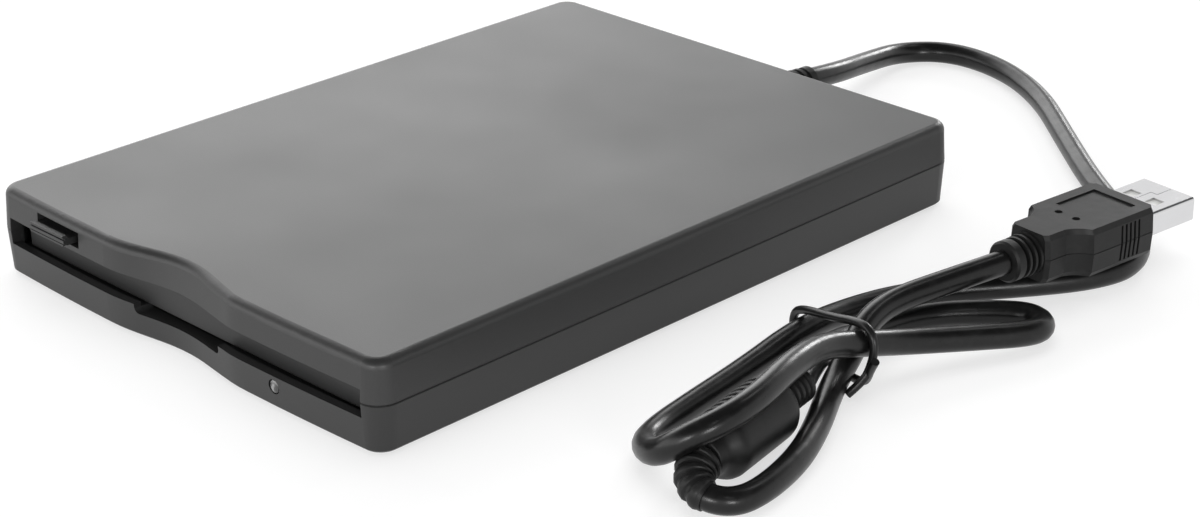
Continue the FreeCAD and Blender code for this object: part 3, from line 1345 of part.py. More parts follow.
def twist_tie():
    """A wire tie: its loop stands in a plane across the bundle, and its two ends cross."""
    along = Vector(0.963, -0.268, 0)
    across = Vector(0.268, 0.963, 0)
    foot = Vector(69.5, 6.7, 0)
    # distance along the plane, out of the plane, height
    loop = [
        (22.9, 0.6, 4.0),
        (22.2, 0.4, 1.6),
        (20.2, 0.0, 0.75),
        (1.4, 0.0, 0.72),
        (-0.6, 0.0, 2.0),
        (-0.5, 0.0, 5.0),
        (1.9, 0.0, 7.2),
        (17.8, 0.0, 11.8),
        (21.6, 0.0, 11.5),
        (23.1, 0.0, 8.8),
        (23.0, -1.0, 4.6),
    ]
    points = [Vector(93.6, 2.6, 6.3)]
    points += [foot + along * a + across * b + Vector(0, 0, z) for a, b, z in loop]
    points.append(Vector(91.8, -5.2, 0.85))
    return tube("twist_tie", points, s.tie_r)


# ---------------------------------------------------------------- the whole
PIECES = [
    bottom_cover,
    top_cover,
    rubber_feet,
    dust_door,
    led_lens,
    activity_led,
    eject_button,
    drive_chassis,
    drive_shield,
    slide_plate,
    disk_carrier,
    slide_springs,
    shutter_lever,
    spindle_rotor,
    spindle_shaft,
    spindle_stator,
    head_carriage,
    lower_head,
    upper_head_arm,
    upper_head,
    stepper_motor,
    lead_screw,
    screw_bearing,
    guide_rod,
    controller_board,
    board_chips,
    sensor_switches,
    usb_board,
    usb_chips,
    ribbon_cable,
    cord_leads,
    strain_relief,
    ferrite_choke,
    twist_tie,
    plug_body,
    plug_shell,
    plug_tongue,
    plug_contacts,
]

for piece in PIECES:
    publish(piece.__name__, piece())
publish("cover_screws", screws("cover_screw", cover_screw_spots, cover_seat, cover_screw_tip, s.screw_shank_r - 0.02))
publish("chassis_screws", screws("chassis_screw", chassis_screw_spots, chassis_seat, base_z + s.sheet, s.screw_shank_r - 0.02))
publish("cord_tail", tube("cord_tail", TAIL, s.cord_r))
publish("cord_end", tube("cord_end", END, s.cord_r))
doc.recompute()

for obj in doc.Objects:
    if "Invalid" in obj.State or "Error" in obj.State:
        raise RuntimeError("%s did not compute: %s" % (obj.Name, obj.State))
for node, obj in parts.items():
    if obj.Shape.isNull() or not obj.Shape.isValid() or not obj.Shape.Solids:
        raise RuntimeError("%s has no valid solid" % node)

os.makedirs("parts", exist_ok=True)
for node, obj in parts.items():
    obj.Shape.exportStep(os.path.join("parts", node + ".step"))
    print("%-18s %2d solids %10.1f mm3" % (node, len(obj.Shape.Solids), obj.Shape.Volume))
print(len(parts), "nodes")
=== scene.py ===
# Slim external floppy disk drive with a tied cord: the looks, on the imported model.
import math

import bpy
from mathutils import Matrix, Vector


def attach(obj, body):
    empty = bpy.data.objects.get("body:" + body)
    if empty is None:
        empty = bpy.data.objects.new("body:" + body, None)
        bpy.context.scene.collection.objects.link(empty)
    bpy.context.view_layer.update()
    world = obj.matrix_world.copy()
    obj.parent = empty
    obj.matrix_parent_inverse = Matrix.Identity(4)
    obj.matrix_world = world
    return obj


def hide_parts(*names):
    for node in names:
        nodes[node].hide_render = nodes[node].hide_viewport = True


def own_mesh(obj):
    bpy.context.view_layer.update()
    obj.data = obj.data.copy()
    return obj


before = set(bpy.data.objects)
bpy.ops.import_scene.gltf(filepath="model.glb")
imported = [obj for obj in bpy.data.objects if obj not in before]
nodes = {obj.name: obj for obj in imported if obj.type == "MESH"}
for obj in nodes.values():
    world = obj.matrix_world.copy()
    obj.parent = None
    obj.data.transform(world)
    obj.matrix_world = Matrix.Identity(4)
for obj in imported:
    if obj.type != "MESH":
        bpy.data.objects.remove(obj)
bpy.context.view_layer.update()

mm = 0.001
print("frame loaded:", len(nodes), "nodes")


class Wire:
    # One output of a node. Arithmetic on it adds Math nodes, node() adds any other.
    def __init__(self, tree, socket):
        self.tree, self.socket = tree, socket

    def node(self, kind, settings=None, sockets=None, out=0):
        made = self.tree.nodes.new("ShaderNode" + kind)
        for name, value in (settings or {}).items():
            if name == "stops":
                ramp = made.color_ramp.elements
                while len(ramp) < len(value):
                    ramp.new(1.0)
                for stop, (place, colour) in zip(ramp, value):
                    stop.position, stop.color = place, colour
            elif name == "interpolation":
                made.color_ramp.interpolation = value
            else:
                setattr(made, name, value)
        for name, value in (sockets or {}).items():
            if isinstance(value, Wire):
                self.tree.links.new(value.socket, made.inputs[name])
            else:
                made.inputs[name].default_value = value
        return Wire(self.tree, made.outputs[out])

    def maths(self, operation, *terms, clamp=False):
        # on the terms given, or on this value alone
        settings = {"operation": operation, "use_clamp": clamp}
        return self.node("Math", settings, dict(enumerate(terms or (self,))))

    def __add__(self, other):
        return self.maths("ADD", self, other)

    def __radd__(self, other):
        return self.maths("ADD", other, self)

    def __sub__(self, other):
        return self.maths("SUBTRACT", self, other)

    def __rsub__(self, other):
        return self.maths("SUBTRACT", other, self)

    def __mul__(self, other):
        return self.maths("MULTIPLY", self, other)

    def __rmul__(self, other):
        return self.maths("MULTIPLY", other, self)

    def __abs__(self):
        return self.maths("ABSOLUTE")

    def __gt__(self, other):
        return self.maths("GREATER_THAN", self, other)

    def __lt__(self, other):
        return self.maths("LESS_THAN", self, other)

    def between(self, low, high):
        # 0 at low, 1 at high
        return (self - low) * (1 / (high - low))

    def held(self):
        # kept between 0 and 1
        return self.maths("ADD", self, 0.0, clamp=True)


class Finish:
    # A material on one shader: fixed looks go straight on its sockets.
    def __init__(self, name, colour, roughness, **looks):
        self.name, self.material = name, bpy.data.materials.new(name)
        self.material.use_nodes = True
        tree = self.material.node_tree
        self.shader = tree.nodes["Principled BSDF"]
        self.shader.inputs["Base Color"].default_value = (*colour, 1)
        self.shader.inputs["Roughness"].default_value = roughness
        for looksLike, value in looks.items():
            self.shader.inputs[looksLike.replace("_", " ")].default_value = value
        self.place = Wire(tree, tree.nodes.new("ShaderNodeTexCoord").outputs["Object"])
        self.material.diffuse_color = (*colour, 1)

    def scaled(self, size, stretch=(1, 1, 1)):
        # size is the pattern's own size in metres
        scale = tuple(along / size for along in stretch)
        return self.place.node("Mapping", None, {"Vector": self.place, "Scale": scale})

    def noise(self, size, detail=2.0, roughness=0.5, stretch=(1, 1, 1)):
        place = self.scaled(size, stretch)
        sockets = {"Vector": place, "Scale": 1.0, "Detail": detail, "Roughness": roughness}
        return place.node("TexNoise", None, sockets)

    def cells(self, size, out=0, **settings):
        place = self.scaled(size)
        return place.node("TexVoronoi", settings, {"Vector": place, "Scale": 1.0}, out)

    def blend(self, mask, low, high):
        sockets = {0: mask, 6: shade(low), 7: shade(high)}
        return mask.node("Mix", {"data_type": "RGBA"}, sockets, 2)

    def axis(self, name):
        return self.place.node("SeparateXYZ", None, {0: self.place}, "XYZ".index(name))

    def bump(self, height, depth):
        # depth is the real height of the relief in metres
        sockets = {"Height": height, "Distance": depth, "Strength": 1.0}
        return height.node("Bump", None, sockets)

    def set(self, **sockets):
        for name, wire in sockets.items():
            wire.tree.links.new(wire.socket, self.shader.inputs[name.replace("_", " ")])
        return self


def shade(colour):
    return colour if isinstance(colour, Wire) else (*colour, 1)


def grey(level):
    return (level, level, level)


def tinted(colour, share, more=0.0):
    return tuple(min(1, part * share + more) for part in colour)


casing = {
    "upper": grey(0.017), "lower": grey(0.013), "button": grey(0.017), "door": grey(0.013),
    "inner": grey(0.02), "gloss": 0.46, "roughness": 0.42,
    "grain": 0.00026, "grainDepth": 0.000012, "haze": 0.035,
    # the shelf and the notch behind the lip, darkened as painted shade
    "shelf": {"half": 0.0475, "y": (-0.0660, 0.06), "z": (0.002, 0.009), "dark": 0.3},
}


def shelfOf(made):
    # 1 on the shelf, where the painted shade goes, and 0 elsewhere
    shelf = casing["shelf"]
    y, z = made.axis("Y"), made.axis("Z")
    along = (y > shelf["y"][0]) * (y < shelf["y"][1])
    return (abs(made.axis("X")) < shelf["half"]) * along * (z > shelf["z"][0]) * (z < shelf["z"][1])


def sparkPlastic(name, colour, roughness=casing["roughness"], depth=casing["grainDepth"], inside=False):
    # ABS from a spark-eroded mould: even fine grain, a faint haze from handling
    made = Finish(name, colour, roughness, Specular_IOR_Level=casing["gloss"])
    pits = made.noise(casing["grain"], 3.0, 0.6)
    haze = made.noise(casing["haze"])
    speck = made.cells(casing["grain"] * 0.7)
    tone = made.blend((pits * 0.7 + speck * 0.35).held(), tinted(colour, 0.86), tinted(colour, 1.22, 0.002))
    # painted shade: the shelf and the notch behind the lip made darker
    if inside:
        tone = made.blend(shelfOf(made), tone, tinted(colour, casing["shelf"]["dark"]))
    made.set(Base_Color=tone, Roughness=(haze * 0.12 + pits * 0.10 + (roughness - 0.11)).held())
    return made.set(Normal=made.bump(pits + speck * 0.5, depth))


vinyl = {
    "cord": grey(0.005), "mould": grey(0.009), "tie": grey(0.008),
    "ripple": 0.0045, "skin": 0.0003, "scuff": 0.0016, "depth": 0.00012,
}


def softVinyl(name, colour, roughness, gloss):
    # flexible PVC: smooth skin with a slight ripple and handling scuffs
    made = Finish(name, colour, roughness, Specular_IOR_Level=gloss)
    ripple = made.noise(vinyl["ripple"], 1.0)
    skin = made.noise(vinyl["skin"])
    scuffs = made.noise(vinyl["scuff"], 1.0).between(0.52, 0.80).held()
    made.set(
        Base_Color=made.blend(scuffs * 0.6, colour, tinted(colour, 1.5, 0.003)),
        Roughness=(scuffs * 0.06 + skin * 0.08 + (roughness - 0.04)).held(),
    )
    return made.set(Normal=made.bump(ripple * 0.7 + skin * 0.03, vinyl["depth"]))


feet = {"colour": grey(0.02), "dust": 0.0009, "grain": 0.0002, "depth": 0.00002}


def rubber(name):
    # matt rubber with a little dust on it
    made = Finish(name, feet["colour"], 0.78)
    dust = made.noise(feet["dust"], 3.0, 0.7)
    made.set(
        Base_Color=made.blend(dust, feet["colour"], tinted(feet["colour"], 1.9)),
        Roughness=(dust * 0.2 + 0.66).held(),
    )
    return made.set(Normal=made.bump(made.noise(feet["grain"]), feet["depth"]))


zinc = {"spangle": 0.004, "rolled": 0.0006, "stain": 0.012, "depth": 0.000008}


def plate(name, colour, roughness, spangle=zinc["spangle"]):
    # plated sheet: dull crystals of zinc over a rolled grain
    made = Finish(name, colour, roughness, Metallic=1.0)
    crystals = made.cells(spangle, "Color")
    flake = crystals.node("SeparateColor", None, {0: crystals})
    rolled = made.noise(zinc["rolled"], 3.0, 0.6)
    stain = made.noise(zinc["stain"], 3.0, 0.6)
    lighter = (flake * 0.35 + rolled * 0.3 + stain * 0.2).held()
    made.set(
        Base_Color=made.blend(lighter, tinted(colour, 0.86), colour),
        Roughness=(flake * 0.05 + rolled * 0.12 + stain * 0.04 + (roughness - 0.11)).held(),
    )
    return made.set(Normal=made.bump(rolled, zinc["depth"]))


polish = {"hairline": 0.0007, "along": (14, 1, 1), "smear": 0.006, "depth": 0.000004}


def bright(name, colour, roughness, hairline=polish["hairline"], along=polish["along"]):
    # polished or turned metal with hairlines along one direction
    made = Finish(name, colour, roughness, Metallic=1.0)
    lines = made.noise(hairline, 3.0, 0.6, along)
    smear = made.noise(polish["smear"])
    made.set(
        Base_Color=made.blend((lines * 0.6 + smear * 0.3).held(), tinted(colour, 0.86), colour),
        Roughness=(lines * 0.10 + smear * 0.10 + (roughness - 0.10)).held(),
    )
    return made.set(Normal=made.bump(lines, polish["depth"]))


resist = {
    "green": (0.012, 0.11, 0.045), "tin": (0.62, 0.62, 0.6), "depth": 0.00003,
    "block": 0.0042, "tracks": 9.0, "padPitch": 0.00254, "rowPitch": 0.0076, "rowShare": 0.12,
}


def solderMask(name):
    # green resist: copper tracks show through as lighter lines, tinned pads in rows
    made = Finish(name, resist["green"], 0.32)
    blocks = made.cells(resist["block"], "Distance", distance="CHEBYCHEV", feature="F1")
    tracks = (blocks * resist["tracks"]).maths("FRACT").between(0.30, 0.36).held()
    pad = (made.axis("X") * (1 / resist["padPitch"])).maths("FRACT").between(0.3, 0.34).held()
    rows = (made.axis("Y") * (1 / resist["rowPitch"])).maths("FRACT") < resist["rowShare"]
    tin = ((1 - pad) * rows).held()
    green = made.blend(tracks, tinted(resist["green"], 0.72), tinted(resist["green"], 1.5))
    made.set(
        Base_Color=made.blend(tin, green, resist["tin"]),
        Metallic=tin,
        Roughness=(made.noise(0.001) * 0.1 + 0.26).held(),
    )
    return made.set(Normal=made.bump(tracks + tin, resist["depth"]))


hard = {"grain": 0.0004, "depth": 0.00001}


def moulded(name, colour, roughness, grain=hard["grain"]):
    # hard plastic or ceramic with a fine even grain
    made = Finish(name, colour, roughness)
    pits = made.noise(grain)
    made.set(
        Base_Color=made.blend(pits, tinted(colour, 0.8), tinted(colour, 1.15)),
        Roughness=(pits * 0.12 + (roughness - 0.06)).held(),
    )
    return made.set(Normal=made.bump(pits, hard["depth"]))


flex = {
    "pitch": 0.001, "edges": ((0.28, 0.34), (0.72, 0.78)), "depth": 0.00002,
    "film": (0.62, 0.63, 0.6), "conductor": (0.36, 0.36, 0.38),
}


def flatFlex(name):
    # clear polyester over flat tinned conductors
    made = Finish(name, (0.5, 0.5, 0.48), 0.3)
    lane = (made.axis("X") * (1 / flex["pitch"])).maths("FRACT")
    left, right = (lane.between(*edge).held() for edge in flex["edges"])
    metal = (left * (1 - right)).held()
    made.set(
        Base_Color=made.blend(metal, flex["film"], flex["conductor"]),
        Metallic=metal * 0.6,
        Roughness=(made.noise(0.0008) * 0.12 + 0.24).held(),
    )
    return made.set(Normal=made.bump(metal, flex["depth"]))


insulation = {
    "from": 0.0025, "to": 0.0066,  # the four leads lie side by side between these
    "colours": [(0.012, 0.012, 0.012), (0.03, 0.23, 0.06), (0.62, 0.62, 0.6), (0.42, 0.02, 0.02)],
}


def leads(name):
    # insulated leads: black, green, white and red
    made = Finish(name, grey(0.5), 0.42)
    across = made.axis("X").between(insulation["from"], insulation["to"])
    share = 1 / len(insulation["colours"])
    stops = [(share * i, (*colour, 1)) for i, colour in enumerate(insulation["colours"])]
    tone = across.node("ValToRGB", {"interpolation": "CONSTANT", "stops": stops}, {0: across})
    made.set(Base_Color=tone, Roughness=(made.noise(0.0006) * 0.16 + 0.34).held())
    return made.set(Normal=made.bump(made.noise(0.0009), 0.00003))


window = {
    "x": 0.0264, "z": 0.0042, "half": (0.0018, 0.0015),  # its middle and its half sizes
    # pale is the colour of the painted highlights on the window
    "dark": grey(0.07), "pale": grey(0.36),
}


def clearLens(name):
    # smoky window with painted highlights: a paler rim and a paler streak that stand for the dome's glints
    made = Finish(name, grey(0.10), 0.16, Transmission_Weight=0.25, IOR=1.49)
    swirl = made.noise(0.0012)
    x = (made.axis("X") - window["x"]) * (1 / window["half"][0])
    z = (made.axis("Z") - window["z"]) * (1 / window["half"][1])
    out = (x * x + z * z).maths("SQRT")
    # painted highlights: a pale ring and a pale diagonal streak
    rimHighlight = (out.between(0.66, 0.78).held() * (1 - out.between(0.90, 1.0).held())).held()
    across = abs(x - z * 0.25 + 0.08)
    streakHighlight = ((1 - across.between(0.10, 0.24).held()) * (1 - out.between(0.5, 0.7).held())).held()
    pale = (rimHighlight * 0.75 + streakHighlight).held()
    made.set(
        Base_Color=made.blend(pale, window["dark"], window["pale"]),
        Roughness=(swirl * 0.12 + 0.14).held(),
    )
    return made.set(Normal=made.bump(swirl * 0.4 + pale * 0.3, 0.0001))


finishes = {made.name: made for made in (
    sparkPlastic("case_upper", casing["upper"]),
    sparkPlastic("case_lower", casing["lower"], inside=True),
    sparkPlastic("button", casing["button"]),
    sparkPlastic("door", casing["door"], 0.5, 0.000010),
    sparkPlastic("black_plastic", casing["inner"], 0.5, 0.000010),
    clearLens("lens"),
    moulded("diode", (0.06, 0.13, 0.045), 0.3),
    rubber("foot"),
    bright("screw", (0.42, 0.42, 0.43), 0.34),
    plate("sheet_steel", (0.58, 0.59, 0.60), 0.40),
    bright("steel", (0.62, 0.62, 0.63), 0.22),
    plate("rotor", (0.60, 0.60, 0.61), 0.34, 0.0025),
    solderMask("board"),
    moulded("chip", grey(0.018), 0.55, 0.0002),
    flatFlex("ribbon"),
    leads("wire"),
    softVinyl("cord", vinyl["cord"], 0.29, 0.31),
    softVinyl("mould", vinyl["mould"], 0.44, 0.22),
    softVinyl("tie", vinyl["tie"], 0.30, 0.26),
    bright("shell", (0.72, 0.72, 0.73), 0.16, 0.0009, (1, 8, 1)),
    moulded("tongue", (0.72, 0.72, 0.70), 0.42),
    bright("gold", (0.83, 0.60, 0.24), 0.24),
    moulded("head", (0.10, 0.095, 0.09), 0.28),
)}
slotOf = {}  # each node's slot in the record
for name, node in nodes.items():
    for slot in node.material_slots:
        slotOf[name] = slot.material.name
        slot.material = finishes[slotOf[name]].material
print("finishes on the frame:", len(finishes))


cordLook = {"diameter": 4.4, "ring": 6, "tailLength": 0.4465, "endLength": 0.1019}
tailRoute = [
    (4.5, 84.7, 9.05), (4.3, 93.2, 8.0), (-1.2, 109.2, 4.6), (-4, 124.2, 2.3), (4, 132.2, 2.3),
    (18.5, 131.2, 2.3), (34, 123.2, 2.3), (51, 108.2, 2.3), (66.5, 94.7, 2.3), (80, 84.7, 2.3),
    (91, 76.2, 2.3), (95, 66.7, 2.3), (93, 58.2, 2.3), (87, 48.7, 2.3), (79.5, 38.7, 2.3),
    (73.7, 29.2, 2.3), (71.3, 18.7, 2.6), (72.2, 4.7, 4.0), (73.7, -10.3, 2.5), (75.5, -24.3, 2.3),
    (77.2, -34.8, 2.3), (80.7, -41.6, 3.4), (87.5, -45.8, 6.0), (92.5, -44.8, 10.0),
    (95.5, -39.8, 12.2), (95.2, -31.3, 13.0), (91.6, -20.3, 13.0), (87.6, -8.3, 10.9),
    (88.3, 0.2, 8.5), (90, 10.4, 5.8), (95.2, 22.1, 4.2), (100.2, 31.7, 3.3), (98.8, 36.7, 2.7),
    (94.3, 38.8, 2.3), (89.6, 35.5, 2.3), (83.3, 29.2, 2.3), (79.8, 21.7, 2.3), (79.2, 13.2, 2.6),
    (79.2, 4.2, 4.0), (82.2, -4.5, 4.0), (87.2, -12.3, 5.5),
]
endRoute = [
    (93.0, -41.33, 5.5), (93.6, -44.7, 4.4), (97.8, -46.5, 2.9), (101.9, -43.3, 2.3),
    (101.9, -36.3, 2.3), (99.3, -26.3, 2.3), (94.6, -16.8, 2.3), (89.5, -8.3, 2.3), (86.3, -2.3, 2.6),
    (84.9, 2.6, 4.6), (82.1, 9.8, 7.0), (81.2, 17.8, 7.8), (83.7, 28.4, 8.4), (86.9, 40.3, 9.2),
]


def splineAlong(name, route):
    line = bpy.data.curves.new(name, "CURVE")
    line.dimensions = "3D"
    line.bevel_depth, line.bevel_resolution = cordLook["diameter"] / 2 * mm, cordLook["ring"]
    line.resolution_u = 12
    line.use_fill_caps = True
    spline = line.splines.new("NURBS")
    spline.points.add(len(route) - 1)
    for point, (x, y, z) in zip(spline.points, route):
        point.co = (x * mm, y * mm, z * mm, 1)
    spline.order_u = 3
    spline.use_endpoint_u = True
    made = bpy.data.objects.new(name, line)
    bpy.context.scene.collection.objects.link(made)
    return made


def pickNothing():
    bpy.ops.object.select_all(action="DESELECT")


def pickOnly(piece):
    pickNothing()
    piece.select_set(True)
    bpy.context.view_layer.objects.active = piece


def standFor(piece, node, body="casing"):
    # the piece takes the node's place, finish and slot
    piece.data.materials.clear()
    piece.data.materials.append(finishes[slotOf[node]].material)
    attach(piece, body)
    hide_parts(node)
    return piece


def copyOf(model, name):
    # a copy with its own mesh
    copy = model.copy()
    copy.data, copy.name = model.data.copy(), name
    bpy.context.scene.collection.objects.link(copy)
    return copy


def smooth(piece, angle):
    pickOnly(piece)
    bpy.ops.object.shade_smooth_by_angle(angle=math.radians(angle))


def setDown(piece, place, turn=(0, 0, 0)):
    # moves and turns the piece, then writes that into its mesh
    pickOnly(piece)
    piece.location = [c * mm for c in place]
    if isinstance(turn, tuple):
        piece.rotation_euler = [math.radians(a) for a in turn]
    else:
        piece.rotation_mode = "QUATERNION"
        piece.rotation_quaternion = turn
    bpy.ops.object.transform_apply(location=True, rotation=True, scale=True)


def join(piece, other):
    pickOnly(piece)
    other.select_set(True)
    bpy.ops.object.join()


def roundEdges(piece, width, segments, angle):
    # on the active piece: edges sharper than the angle
    edge = piece.modifiers.new("round", "BEVEL")
    edge.width, edge.segments = width * mm, segments
    edge.limit_method, edge.angle_limit = "ANGLE", math.radians(angle)
    bpy.ops.object.modifier_apply(modifier="round")


def pickFaces(piece, wanted):
    # goes to edit mode with just the wanted faces selected
    bpy.ops.object.mode_set(mode="OBJECT")
    for kind in (piece.data.vertices, piece.data.edges, piece.data.polygons):
        kind.foreach_set("select", [False] * len(kind))
    for face in piece.data.polygons:
        face.select = wanted(face)
    bpy.context.tool_settings.mesh_select_mode = (False, False, True)
    bpy.ops.object.mode_set(mode="EDIT")


def turnedAlong(name, sections, sides):
    # a round body along +Y: one disk, extruded and scaled from section to section
    pickNothing()
    y, radius = sections[0]
    bpy.ops.mesh.primitive_circle_add(vertices=sides, radius=radius * mm, fill_type="NGON",
                                      location=(0, y * mm, 0), rotation=(math.pi / 2, 0, 0))
    made = bpy.context.object
    made.name = name
    bpy.ops.object.transform_apply(location=True, rotation=True)
    bpy.ops.object.mode_set(mode="EDIT")
    bpy.ops.mesh.select_all(action="SELECT")
    for nextY, nextRadius in sections[1:]:
        bpy.ops.mesh.extrude_region_move(TRANSFORM_OT_translate={"value": (0, (nextY - y) * mm, 0)})
        share = nextRadius / radius
        bpy.ops.transform.resize(value=(share, 1, share), center_override=(0, nextY * mm, 0))
        y, radius = nextY, nextRadius
    bpy.ops.mesh.select_all(action="SELECT")
    bpy.ops.mesh.normals_make_consistent(inside=False)
    bpy.ops.object.mode_set(mode="OBJECT")
    return made


def courseOf(cord, reach):
    # points along the cord's own line, from its start, with their distance
    bare = bpy.data.objects.new("course", cord.data.copy())
    bare.data.bevel_depth = 0
    points, run = [v.co.copy() for v in bpy.data.meshes.new_from_object(bare).vertices], 0.0
    bpy.data.curves.remove(bare.data)
    course = [(0.0, points[0])]
    for last, point in zip(points, points[1:]):
        run += (point - last).length
        course.append((run, point))
        if run > reach:
            break
    return course


def sleeveOn(name, course, profile):
    # a round sleeve along a course, with a radius at each distance
    line = bpy.data.curves.new(name, "CURVE")
    line.dimensions, line.use_fill_caps = "3D", True
    line.bevel_depth, line.bevel_resolution = 1.0 * mm, 7
    spline = line.splines.new("POLY")
    spline.points.add(len(profile) - 1)
    for stop, (far, radius) in zip(spline.points, profile):
        near = max(0, sum(run < far * mm for run, point in course) - 1)
        (run, point), (nextRun, nextPoint) = course[near], course[near + 1]
        share = (far * mm - run) / (nextRun - run)
        stop.co, stop.radius = (*point.lerp(nextPoint, share), 1), radius
    made = bpy.data.objects.new(name, line)
    bpy.context.scene.collection.objects.link(made)
    pickOnly(made)
    bpy.ops.object.convert(target="MESH")
    return bpy.context.object


chokeLook = {
    "start": (87.2, -12.3, 5.5), "along": (5.8, -29.0, 0.0), "length": 29.6, "sides": 72,
    "radius": 5.5, "slim": 3.0, "round": 0.12,
    "neck": {"ribs": 4, "first": 1.2, "pitch": 1.5, "depth": 0.45, "stops": (0.12, 0.68, 0.8)},
    # distance and radius: from the start, and back from the far end
    "shoulder": [(7.1, 3.15), (7.7, 3.7), (8.4, 4.5), (9.1, 5.05), (9.8, 5.36), (10.5, 5.47)],
    "farEnd": [(5.2, 5.5), (4.5, 5.36), (3.8, 5.0), (3.1, 4.4), (2.5, 3.85), (1.7, 3.5), (0.2, 3.4),
               (0.0, 3.2)],
    "grooves": {"count": 7, "first": 10.9, "pitch": 1.95, "width": 1.0, "depth": 0.85},
    # the bent relief follows the cord, and its ribs shrink outwards
    "relief": {"ribs": 5, "first": 0.25, "pitch": 1.62, "from": 3.55, "to": 2.72, "depth": 0.5,
               "edge": 0.15, "stops": (0.0, 0.2, 0.75, 0.95, 1.05, 1.5), "reach": 12.0},
}


def chokeBarrel():
    # a ribbed neck, a shoulder, and a barrel with finger grooves on one side
    look, neck, grooves = chokeLook, chokeLook["neck"], chokeLook["grooves"]
    slim, radius = look["slim"], look["radius"]
    sections = [(0.0, slim - 0.4), (0.35, slim)]
    low = slim - neck["depth"]
    down, up, end = neck["stops"]
    for rib in range(neck["ribs"]):
        y = neck["first"] + neck["pitch"] * rib
        sections += [(y, slim), (y + down, low), (y + up, low), (y + end, slim)]
    sections += look["shoulder"]
    starts = [grooves["first"] + grooves["pitch"] * i for i in range(grooves["count"])]
    for y in starts:
        sections += [(y, radius), (y + grooves["width"], radius)]
    sections += [(look["length"] - back, wide) for back, wide in look["farEnd"]]
    barrel = turnedAlong("ferriteChoke", sections, look["sides"])

    middles = [y + grooves["width"] / 2 for y in starts]

    def inGroove(face):
        x, y, z = (c / mm for c in face.center)
        return x > 0.4 and z > 0.2 and any(abs(y - middle) < 0.1 for middle in middles)

    pickFaces(barrel, inGroove)
    bpy.ops.mesh.extrude_region_move()
    share = 1 - grooves["depth"] / radius
    bpy.ops.transform.resize(value=(share, 1, share), center_override=(0, 0, 0))
    bpy.ops.object.mode_set(mode="OBJECT")
    roundEdges(barrel, look["round"], 2, 40)
    axis = Vector(look["along"]).normalized()
    setDown(barrel, look["start"], Vector((0, 1, 0)).rotation_difference(axis))
    return barrel


def ferriteChoke(cord):
    # the barrel, with a ribbed relief that bends with the cord out of its far end
    relief = chokeLook["relief"]
    profile = [(0.0, relief["from"] - 0.3)]
    last = relief["ribs"] - 1
    for rib in range(relief["ribs"]):
        high = relief["from"] + (relief["to"] - relief["from"]) * rib / last
        low = high - relief["depth"] * (0.5 if rib == last else 1.0)
        edge = high - relief["edge"]
        y = relief["first"] + relief["pitch"] * rib
        radii = (edge, high, high, edge, low, low)
        profile += [(y + stop, wide) for stop, wide in zip(relief["stops"], radii)]
    barrel = chokeBarrel()
    join(barrel, sleeveOn("chokeRelief", courseOf(cord, relief["reach"] * mm), profile))
    smooth(barrel, 32)
    return standFor(barrel, "ferrite_choke")


tieLook = {
    "radius": 0.72, "foot": (69.5, 6.7), "across": (0.963, -0.268),
    # along the tie's plane, out of it towards the back, height
    "path": [(25.4, -1.6, 7.7), (23.9, -1.4, 5.6), (22.4, -0.7, 3.6), (20.4, 0.0, 1.5), (17.4, 0.0, 0.82),
             (10.0, 0.0, 0.76), (1.2, 0.0, 0.76), (-0.7, 0.0, 2.0), (-0.6, 0.0, 5.4), (2.2, 0.0, 7.2),
             (10.5, 0.0, 9.1), (18.5, 0.0, 11.5), (21.8, 0.0, 11.2), (23.0, 0.0, 8.6), (22.9, -0.8, 5.2),
             (22.8, -2.0, 3.2), (21.8, -4.3, 0.95)],
}


def twistTie():
    # a coated wire round the bundle, its two short ends crossed
    pickNothing()
    bpy.ops.curve.primitive_nurbs_path_add()
    tie = bpy.context.object
    tie.name = "twistTie"
    line, spline = tie.data, tie.data.splines[0]
    spline.points.add(len(tieLook["path"]) - len(spline.points))
    ux, uy = tieLook["across"]
    footX, footY = tieLook["foot"]
    for point, (a, b, z) in zip(spline.points, tieLook["path"]):
        x, y = footX + ux * a - uy * b, footY + uy * a + ux * b
        point.co, point.radius = (x * mm, y * mm, z * mm, 1), 1.0
    spline.order_u, spline.use_endpoint_u, spline.resolution_u = 3, True, 10
    line.bevel_depth, line.bevel_resolution, line.use_fill_caps = tieLook["radius"] * mm, 5, True
    bpy.ops.object.convert(target="MESH")
    tie = bpy.context.object
    roundEdges(tie, 0.18, 3, 60)
    smooth(tie, 50)
    return standFor(tie, "twist_tie")


def runCords():
    tail = standFor(splineAlong("cordTail", tailRoute), "cord_tail")
    end = standFor(splineAlong("cordEnd", endRoute), "cord_end")
    choke = [ferriteChoke(end)]
    twistTie()


runCords()
print("cords run, with their choke and tie")


def wound(piece, pitch, turns, steps):
    # winds an outline round the Y axis and closes its two ends
    turn = piece.modifiers.new("wind", "SCREW")
    turn.axis, turn.angle, turn.screw_offset, turn.iterations = "Y", 2 * math.pi, pitch * mm, turns
    turn.steps = turn.render_steps = steps
    turn.use_merge_vertices, turn.merge_threshold = True, 0.001 * mm
    bpy.ops.object.modifier_apply(modifier="wind")
    bpy.ops.object.mode_set(mode="EDIT")
    bpy.ops.mesh.select_all(action="SELECT")
    bpy.ops.mesh.fill_holes(sides=0)
    bpy.ops.mesh.normals_make_consistent(inside=False)
    bpy.ops.object.mode_set(mode="OBJECT")


springLook = {
    "x": 42.0, "y": -50.0, "z": 13.5, "length": 20.0, "coil": 0.6, "wire": 0.19, "turns": 22,
    "squeezed": 0.75,  # what is left of the length with the slide plate forward
}


